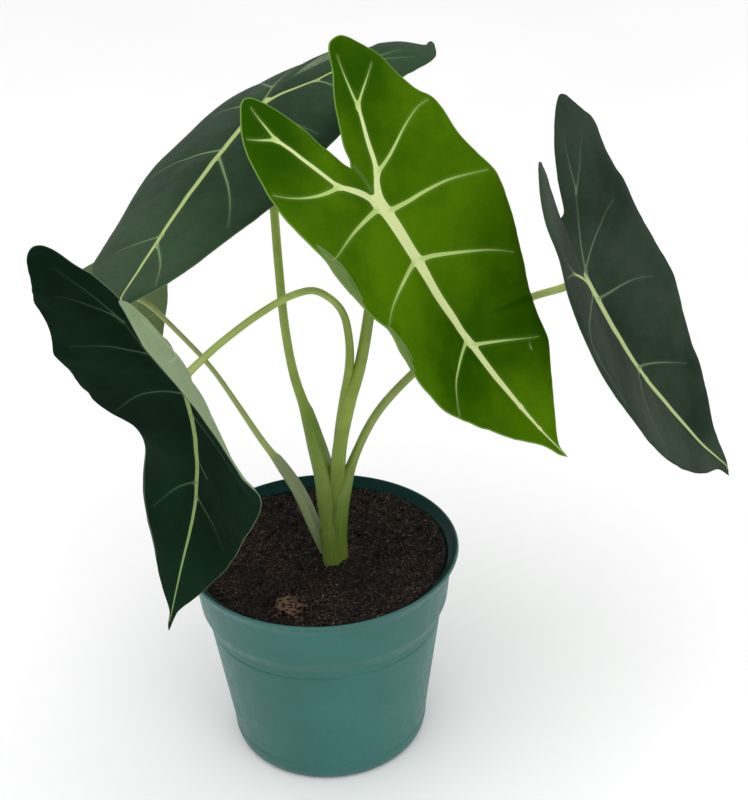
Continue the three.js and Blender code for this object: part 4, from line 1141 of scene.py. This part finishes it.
def leaf_material(name):
    look = dict(zip(LOOK_KEYS, LEAF_LOOKS[name]))
    s = Shader("leaf_" + name)
    coords = s.coords()
    vein, edge = s.attribute("vein"), s.attribute("edge")
    broad = s.noise(coords, 28, 2)
    fine = s.noise(coords, 900, 3, 0.6)
    cloud = s.noise(coords, 120, 4, 0.6)
    # From the shade colour to the light colour by the painted light patches, with random tone from noise
    painted_light_and_tone = s.math("ADD", s.attribute("painted_light_and_tone"), s.between(broad, 0.3, 0.7, (0.3, 0.7)))
    painted_light_and_tone = s.math("ADD", painted_light_and_tone, s.between(cloud, 0.3, 0.7, (-0.08, 0.08)))
    body = s.tint(srgb(look["shade"]), painted_light_and_tone, 0.0, 1.0, look["light"])
    body = s.tint(body, fine, 0.2, 0.8, look["shade"], 0.18)
    # Pale marks, with painted sheen along the front blade's margin
    body = s.mix(s.attribute("pale"), body, srgb(look["pale"]))
    vein_colour = s.mix(s.attribute("main"), srgb(look["side_vein"]), srgb(look["main_vein"]))
    vein_colour = s.mix(s.between(s.attribute("reach"), 0.3, 1.0, (0.0, 0.6)), vein_colour, body)
    top = s.tint(body, vein, 1.2, 0.1, look["side_vein"], 0.07)
    top = s.mix(s.between(vein, 0.08, -0.06), top, vein_colour)
    top = s.tint(top, edge, 0.42, 0.18, look["margin"])
    below = s.tint(srgb(look["under"]), cloud, 0.3, 0.7, look["under_vein"], 0.35)
    below = s.tint(below, vein, 0.5, -0.2, look["under_vein"])
    s.set(Base_Color=s.mix(s.attribute("under"), top, below))
    grain = s.bump(fine, 0.00006, 0.6)
    s.set(Normal=s.bump(cloud, 0.00025, 0.5, Normal=grain))
    s.set(Roughness=s.between(fine, 0.2, 0.8, (look["rough"] - 0.06, look["rough"] + 0.08)))
    s.set(Sheen_Weight=look["sheen"], Sheen_Roughness=0.4, Specular_IOR_Level=look["gloss"])
    return s.material


def petiole_material(name):
    s = Shader("petiole_" + name)
    streaks = s.noise(s.stretched(s.coords("UV"), (26, 2.2, 1)), 3.0, 4, 0.6)
    cloud = s.noise(s.coords(), 160, 3)
    height = s.attribute("height")
    young, old = (136, 158, 54), (72, 96, 22)
    body = s.tint(srgb(young), height, 150, 95, old)
    body = s.tint(body, height, 95, 78, (98, 112, 52), 0.5)
    # Tints up the stalk, partly painted light on lit stretches
    for low, high, strength, colour in STALK_TINTS_AND_PAINTED_LIGHT[name]:
        body = s.tint(body, s.attribute("along"), low, high, colour, strength)
    body = s.tint(body, streaks, 0.35, 0.7, (138, 158, 64), 0.35)
    body = s.tint(body, cloud, 0.35, 0.7, (80, 104, 34), 0.2)
    if name == "back_left":
        body = s.tint(body, s.attribute("sheathed"), 0.2, 0.8, (122, 136, 98), 0.85)
    s.set(Base_Color=body, Normal=s.bump(streaks, 0.00012, 0.6))
    s.set(Roughness=s.between(cloud, 0.3, 0.7, (0.38, 0.52)), Specular_IOR_Level=0.4)
    return s.material


def pot_material():
    s = Shader("teal_plastic")
    coords = s.coords()
    broad = s.noise(coords, 22, 2)
    grain = s.noise(coords, 1900, 3, 0.7)
    patches = s.noise(coords, 240, 4, 0.65)
    body = s.tint(srgb((18, 90, 84)), broad, 0.3, 0.7, (32, 102, 96))
    body = s.tint(body, patches, 0.45, 0.75, (52, 112, 106), 0.2)
    body = s.tint(body, grain, 0.3, 0.7, (14, 70, 66), 0.4)
    low = s.between(s.node("ShaderNodeSeparateXYZ", "Z", {0: coords}), 0.016, 0.001)
    dirt = s.math("MULTIPLY", s.between(s.noise(coords, 620, 2, 0.7), 0.66, 0.72), low)
    body = s.mix(dirt, body, srgb((38, 40, 34)))
    sides = {0: s.stretched(coords, (1, 1, 0)), 1: s.node("ShaderNodeNewGeometry", "Normal")}
    outward = s.node("ShaderNodeVectorMath", "Value", sides, operation="DOT_PRODUCT")
    # Painted shade on the inner wall: a darker teal and less specular where the surface faces the axis
    painted_inner_shade = s.between(outward, -0.004, -0.02)
    body = s.mix(s.math("MULTIPLY", painted_inner_shade, 0.9), body, srgb((0, 34, 31)))
    s.set(Base_Color=body, Normal=s.bump(grain, 0.00004, 0.5))
    s.set(Roughness=s.between(patches, 0.3, 0.7, (0.36, 0.5)))
    s.set(Specular_IOR_Level=s.between(painted_inner_shade, 0.0, 1.0, (0.5, 0.1)))
    return s.material


def soil_material():
    existing = bpy.data.materials.get("peat_mix")
    if existing:
        return existing
    s = Shader("peat_mix")
    coords = s.coords()
    shade = s.attribute("shade")
    patches = s.noise(coords, 420, 5, 0.75)
    grain = s.noise(coords, 1200, 3, 0.7)
    painted_gap_shade = s.noise(coords, 800, 3, 0.6)
    body = s.tint(srgb((6, 4, 4)), patches, 0.38, 0.62, (40, 30, 25))
    body = s.tint(body, shade, 0.5, 1.0, (58, 44, 35), 0.5)
    # The clod's and its crumbs' pale colour, with painted light on the clod's bumps and painted shade in its
    # hollows
    body = s.tint(body, shade, 1.05, 1.3, (110, 85, 66), 0.9)
    body = s.tint(body, grain, 0.58, 0.66, (140, 108, 88), 0.9)
    # Painted shade: near-black patches for the shadows between crumbs
    body = s.tint(body, painted_gap_shade, 0.49, 0.41, (2, 1, 1))
    body = s.tint(body, s.noise(coords, 70, 2), 0.42, 0.62, (12, 9, 8), 0.55)
    s.set(Base_Color=body, Normal=s.bump(grain, 0.0005, 0.9))
    s.set(Roughness=s.between(patches, 0.3, 0.7, (0.75, 1.0)), Specular_IOR_Level=0.25)
    return s.material


def fibre_material():
    s = Shader("root_fibre")
    tint = s.between(s.noise(s.coords(), 400, 2), 0.3, 0.7)
    s.set(Base_Color=s.mix(tint, srgb((74, 58, 46)), srgb((126, 106, 84))), Roughness=0.8)
    return s.material


def floor_material():
    s = Shader("pale_floor")
    tint = s.between(s.noise(s.coords(), 3, 2), 0.3, 0.7)
    s.set(Base_Color=s.mix(tint, (0.9, 0.9, 0.9, 1), (0.92, 0.92, 0.92, 1)), Roughness=0.9)
    return s.material


# Stage
def add_camera():
    down = math.radians(CAMERA_DOWN)
    ahead = Vector((0, math.cos(down), -math.sin(down)))
    right = Vector((1, 0, 0))
    up = right.cross(ahead)
    roll = math.radians(CAMERA_ROLL)
    right, up = (right * math.cos(roll) + up * math.sin(roll), up * math.cos(roll) - right * math.sin(roll))
    data = bpy.data.cameras.new("camera")
    data.sensor_fit = "VERTICAL"
    data.sensor_height = SENSOR
    data.lens = FOCAL_PIXELS / IMAGE_HEIGHT * SENSOR
    data.clip_start, data.clip_end = 0.01, 50
    camera = bpy.data.objects.new("camera", data)
    rotation = Matrix((right, up, -ahead)).transposed().to_4x4()
    camera.matrix_world = Matrix.Translation((CAMERA_TARGET - ahead * CAMERA_DISTANCE) * MM) @ rotation
    bpy.context.scene.collection.objects.link(camera)
    bpy.context.scene.camera = camera


def add_light(name, place, size, power):
    data = bpy.data.lights.new(name, "AREA")
    data.shape = "DISK"
    data.size = size
    data.energy = power
    light = bpy.data.objects.new(name, data)
    light.location = place
    light.rotation_euler = (LIT_POINT - light.location).to_track_quat("-Z", "Y").to_euler()
    bpy.context.scene.collection.objects.link(light)


def add_stage():
    corners = [(x * FLOOR_REACH, y * FLOOR_REACH, 0) for x, y in ((-1, -1), (1, -1), (1, 1), (-1, 1))]
    floor = mesh_object("floor", corners, [(0, 1, 2, 3)], smooth=False)
    floor.data.materials.append(floor_material())
    world = bpy.data.worlds.new("studio")
    world.use_nodes = True
    background = world.node_tree.nodes["Background"]
    background.inputs["Color"].default_value = (1, 1, 1, 1)
    background.inputs["Strength"].default_value = WORLD_STRENGTH
    bpy.context.scene.world = world
    bpy.context.scene.view_settings.view_transform = "Standard"
    for name, light in LIGHTS.items():
        add_light(name, *light)


add_camera()
add_stage()
pot_piece()
soil_piece()
crumbs_piece()
clod_piece()
fibres_piece()
for leaf_name in LEAVES:
    petiole_piece(leaf_name)
    blade_piece(leaf_name)
